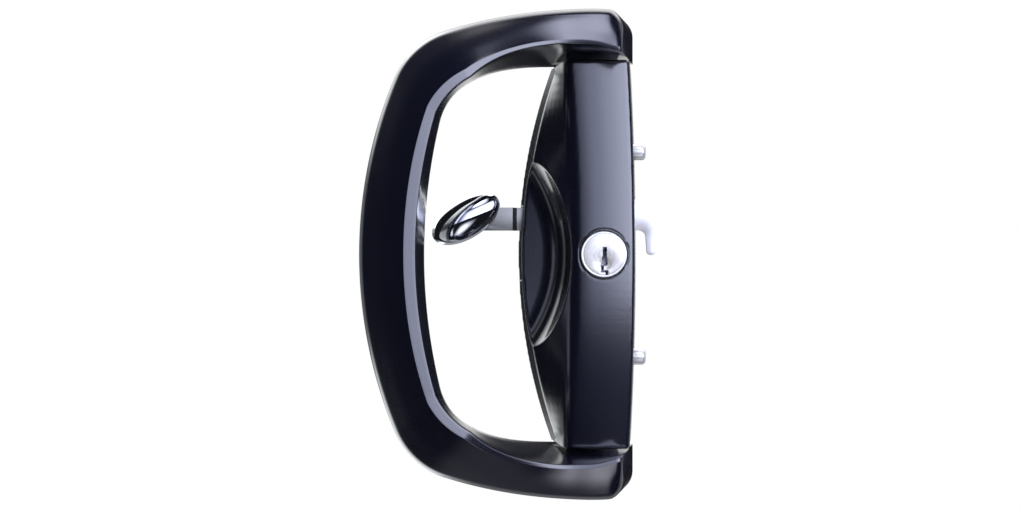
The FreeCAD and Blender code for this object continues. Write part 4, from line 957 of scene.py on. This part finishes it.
# Solids that keep their own mesh and only get a finish
PLAIN_NODES = {
    "plate_screws": ZINC_PLATE,
    "cover_screws": ZINC_PLATE,
    "cylinder_screws": ZINC_PLATE,
    "case_screws": ZINC_PLATE,
    "chamber_cap": TURNED_BRASS,
    "driver_pins": TURNED_BRASS,
    "pin_springs": SPRING_STEEL,
    "key_pins": SPRING_STEEL,
    "tail_cam": ZINC_PLATE,
    "cam_screw": ZINC_PLATE,
    "knob_rivet": SATIN_NICKEL,
    "drive_post": ZINC_PLATE,
    "rack_bar": ZINC_PLATE,
    "hook_pivot": ZINC_PLATE,
    "case_spacers": ZINC_PLATE,
    "rack_guides": NATURAL_NYLON,
    "brake_spring": SPRING_STEEL,
}


@dataclass(frozen=True)
class Glow:
    """A soft-edged bright area of the room that the gloss shows.

    Attributes:
        name: What it stands for.
        colour: Its colour.
        level: Its brightness.
        sides: For each side a measure of the direction, its value outside the area and its value inside. x, y
            and z are the direction itself, aside and level are x and z without their sign, and turn is the
            angle from the camera's side towards the right, in radians.
    """

    name: str
    colour: str
    level: float
    sides: tuple[tuple[str, float, float], ...]


SOFTBOX_ENDS = (("turn", 1.08, 0.87), ("z", -0.1, -0.04), ("z", 0.6, 0.4))
SCREEN_SIDES = (("x", -0.12, -0.3), ("y", 0.1, 0.4), ("level", 0.17, 0.27))
PANEL_SIDES = (("turn", -0.14, 0.0), ("turn", 0.7, 0.3), ("z", 0.6, 0.75), ("z", 0.985, 0.95))
BOUNCE_SIDES = (
    ("turn", -0.1, 0.17), ("turn", 0.62, 0.24), ("z", -0.3, -0.6), ("z", -0.97, -0.75), ("y", 0.2, 0.0),
)

GLOWS = (
    Glow("soft box from its left end", "#d6deff", 1.9, (("turn", -0.31, -0.05), *SOFTBOX_ENDS)),
    Glow("soft box, brighter to the right", "#e8eaff", 2.28, (("turn", 0.0, 0.38), *SOFTBOX_ENDS)),
    Glow("panel overhead", "#e0e4ff", 3.99, PANEL_SIDES),
    Glow("white ceiling behind", "#ffffff", 1.8, (("z", 0.42, 0.55), ("y", 0.02, 0.25), ("aside", 0.8, 0.6))),
    Glow("white backdrop", "#ffffff", 1.0, (("y", 0.97, 0.99), ("aside", 0.17, 0.1), ("level", 0.14, 0.1))),
    Glow("light thrown back by the floor", "#eef0ff", 2.1, BOUNCE_SIDES),
    Glow("room behind", "#eef0f6", 0.4, (("y", 0.1, 0.3), ("y", 0.9, 0.75))),
    Glow("screens behind on the left", "#f2f6f6", 2.0, SCREEN_SIDES),
    Glow("floor below", "#eef2ff", 0.12, (("z", -0.88, -0.96),)),
)


@dataclass
class Studio:
    """The floor, the lamps, the world and the camera."""

    floor_z: float = -300.0
    floor_size: float = 9000.0
    floor_colour: str = "#e2e2e2"
    shadow_reach: float = 900.0
    white_reach: float = 1600.0
    near_whiteness: float = 0.85
    fill: float = 0.5
    walls_colour: str = "#dfe6ff"
    walls_level: float = 0.012

    def floor(self) -> None:
        """Lays a pale floor that keeps the object's shadow and is plain white to the camera further out."""
        deselect()
        bpy.ops.mesh.primitive_plane_add(size=self.floor_size * MM, location=(0, 0, self.floor_z * MM))
        floor = bpy.context.object
        floor.name = "studio_floor"
        floor.visible_glossy = False
        material = bpy.data.materials.new("pale_floor")
        material.use_nodes = True
        tree = material.node_tree
        tree.nodes.clear()
        path = add_node(tree, "ShaderNodeLightPath").outputs
        eye = {0: path["Is Camera Ray"], 1: path["Is Glossy Ray"]}
        direct = add_node(tree, "ShaderNodeMath", eye, operation="MAXIMUM").outputs[0]
        through = {0: direct, 1: path["Is Transmission Ray"]}
        seen = add_node(tree, "ShaderNodeMath", through, operation="MAXIMUM").outputs[0]
        place = add_node(tree, "ShaderNodeTexCoord").outputs["Object"]
        away = add_node(tree, "ShaderNodeVectorMath", {0: place}, operation="LENGTH").outputs["Value"]
        limits = {
            "Value": away,
            FROM_MIN: self.shadow_reach * MM,
            FROM_MAX: self.white_reach * MM,
            TO_MIN: self.near_whiteness,
            TO_MAX: 1.0,
        }
        whiteness = add_node(tree, "ShaderNodeMapRange", limits, interpolation_type="SMOOTHSTEP").outputs[0]
        share = add_node(tree, "ShaderNodeMath", {0: seen, 1: whiteness}, operation="MULTIPLY").outputs[0]
        paint = add_node(tree, "ShaderNodeBsdfDiffuse", {"Color": linear(self.floor_colour)}).outputs[0]
        glow = add_node(tree, "ShaderNodeEmission", {"Color": linear("#ffffff"), "Strength": 1.0}).outputs[0]
        mixed = add_node(tree, "ShaderNodeMixShader", {0: share, 1: paint, 2: glow})
        add_node(tree, "ShaderNodeOutputMaterial", {"Surface": mixed.outputs[0]})
        dress(floor, material)

    def lamp(self, name: str, place: tuple[float, float, float], size: Span, watts: float) -> None:
        """Hangs a soft box that faces the object.

        Args:
            name: The lamp's name.
            place: Where it hangs, in millimetres.
            size: Its width and height in millimetres.
            watts: Its power.
        """
        light = bpy.data.lights.new(name, "AREA")
        light.shape = "RECTANGLE"
        light.size = size[0] * MM
        light.size_y = size[1] * MM
        light.energy = watts
        holder = bpy.data.objects.new(name, light)
        bpy.context.scene.collection.objects.link(holder)
        holder.location = Vector(place) * MM
        holder.rotation_euler = (-Vector(place)).to_track_quat("-Z", "Y").to_euler()
        holder.visible_glossy = False

    def glow(
        self, tree: bpy.types.NodeTree, measures: dict[str, bpy.types.NodeSocket], area: Glow
    ) -> bpy.types.NodeSocket:
        """Adds the nodes of one bright area of the room.

        Args:
            tree: The world's node tree.
            measures: The socket of each measure of the direction.
            area: The area.

        Returns:
            The area's light.
        """
        total = None
        for measure, outside, inside in area.sides:
            limits = {"Value": measures[measure], FROM_MIN: outside, FROM_MAX: inside}
            step = add_node(tree, "ShaderNodeMapRange", limits).outputs[0]
            if total is not None:
                step = add_node(tree, "ShaderNodeMath", {0: total, 1: step}, operation="MULTIPLY").outputs[0]
            total = step
        scaled = {0: total, 1: area.level}
        strength = add_node(tree, "ShaderNodeMath", scaled, operation="MULTIPLY").outputs[0]
        light = {"Color": linear(area.colour), "Strength": strength}
        return add_node(tree, "ShaderNodeBackground", light, label=area.name).outputs[0]

    def room(self, tree: bpy.types.NodeTree) -> bpy.types.NodeSocket:
        """What the gloss shows: nearly black walls, and the bright areas of GLOWS on them.

        Args:
            tree: The world's node tree.

        Returns:
            The room's light.
        """
        direction = add_node(tree, "ShaderNodeTexCoord").outputs["Generated"]
        x, y, z = add_node(tree, "ShaderNodeSeparateXYZ", {0: direction}).outputs
        front = add_node(tree, "ShaderNodeMath", {0: y, 1: -1.0}, operation="MULTIPLY").outputs[0]
        turn = add_node(tree, "ShaderNodeMath", {0: x, 1: front}, operation="ARCTAN2").outputs[0]
        aside = add_node(tree, "ShaderNodeMath", {0: x}, operation="ABSOLUTE").outputs[0]
        level = add_node(tree, "ShaderNodeMath", {0: z}, operation="ABSOLUTE").outputs[0]
        measures = {"x": x, "y": y, "z": z, "turn": turn, "aside": aside, "level": level}
        walls = {"Color": linear(self.walls_colour), "Strength": self.walls_level}
        total = add_node(tree, "ShaderNodeBackground", walls).outputs[0]
        for area in GLOWS:
            light = self.glow(tree, measures, area)
            total = add_node(tree, "ShaderNodeAddShader", {0: total, 1: light}).outputs[0]
        return total

    def world(self) -> None:
        """A white world to the camera, a plain fill for the light, and the room for the gloss."""
        world = bpy.data.worlds.new("studio")
        bpy.context.scene.world = world
        world.use_nodes = True
        world.cycles.sampling_method = "NONE"
        tree = world.node_tree
        tree.nodes.clear()
        path = add_node(tree, "ShaderNodeLightPath").outputs
        plain = linear("#ffffff")
        white = add_node(tree, "ShaderNodeBackground", {"Color": plain, "Strength": 1.0}).outputs[0]
        fill = add_node(tree, "ShaderNodeBackground", {"Color": plain, "Strength": self.fill}).outputs[0]
        gloss = {0: path["Is Glossy Ray"], 1: fill, 2: self.room(tree)}
        lit = add_node(tree, "ShaderNodeMixShader", gloss).outputs[0]
        direct = {0: path["Is Camera Ray"], 1: path["Is Transmission Ray"]}
        seen = add_node(tree, "ShaderNodeMath", direct, operation="MAXIMUM").outputs[0]
        shown = add_node(tree, "ShaderNodeMixShader", {0: seen, 1: lit, 2: white})
        add_node(tree, "ShaderNodeOutputWorld", {"Surface": shown.outputs[0]})

    def camera(self) -> None:
        """Sets the camera where the photograph was taken from."""
        data = bpy.data.cameras.new("photo_camera")
        data.sensor_width = SENSOR_WIDTH
        data.sensor_fit = "HORIZONTAL"
        data.lens = SENSOR_WIDTH * FOCAL_PIXELS / PHOTO_WIDTH
        data.clip_start = 0.01
        holder = bpy.data.objects.new("photo_camera", data)
        bpy.context.scene.collection.objects.link(holder)
        holder.location = Vector((CAMERA_X, -CAMERA_DISTANCE, CAMERA_Z)) * MM
        holder.rotation_euler = (math.pi / 2, 0, 0)
        bpy.context.scene.camera = holder

    def build(self) -> None:
        """Sets up the whole studio."""
        self.camera()
        self.floor()
        self.world()
        self.lamp("softbox_above_right", place=(420, -620, 640), size=(700, 500), watts=9.0)
        self.lamp("softbox_right", place=(900, -420, 120), size=(300, 900), watts=5.0)
        self.lamp("softbox_left", place=(-900, -500, 300), size=(300, 700), watts=2.5)
        bpy.context.scene.view_settings.view_transform = "Standard"


@dataclass
class DoorLock:
    """The whole lock: its modelled castings, its machined pieces and the solids that only get a finish."""

    handle: PullHandle = field(default_factory=PullHandle)
    cover: Cover = field(default_factory=Cover)
    knob: SnibKnob = field(default_factory=SnibKnob)
    materials: dict[str, bpy.types.Material] = field(default_factory=dict)

    def material(self, finish: Finish) -> bpy.types.Material:
        """The finish's material, made once."""
        if finish.name not in self.materials:
            self.materials[finish.name] = finish.build()
        return self.materials[finish.name]

    def build(self) -> None:
        """Builds every piece in order."""
        LOG.info("made %s", self.handle.build(self.material(POWDER_COAT)).name)
        LOG.info("made %s", self.cover.build(self.material(POWDER_COAT)).name)
        LOG.info("made %s", self.knob.build(self.material(BRIGHT_CHROME)).name)
        for machined in MACHINED:
            LOG.info("made %s", machined.build(self.material(machined.finish)).name)
        for node, finish in PLAIN_NODES.items():
            dress(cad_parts[node], self.material(finish))
            LOG.info("dressed %s", node)


def main() -> None:
    """Builds the lock and the studio."""
    logging.basicConfig(level=logging.INFO)
    DoorLock().build()
    Studio().build()


if __name__ == "__main__":
    main()
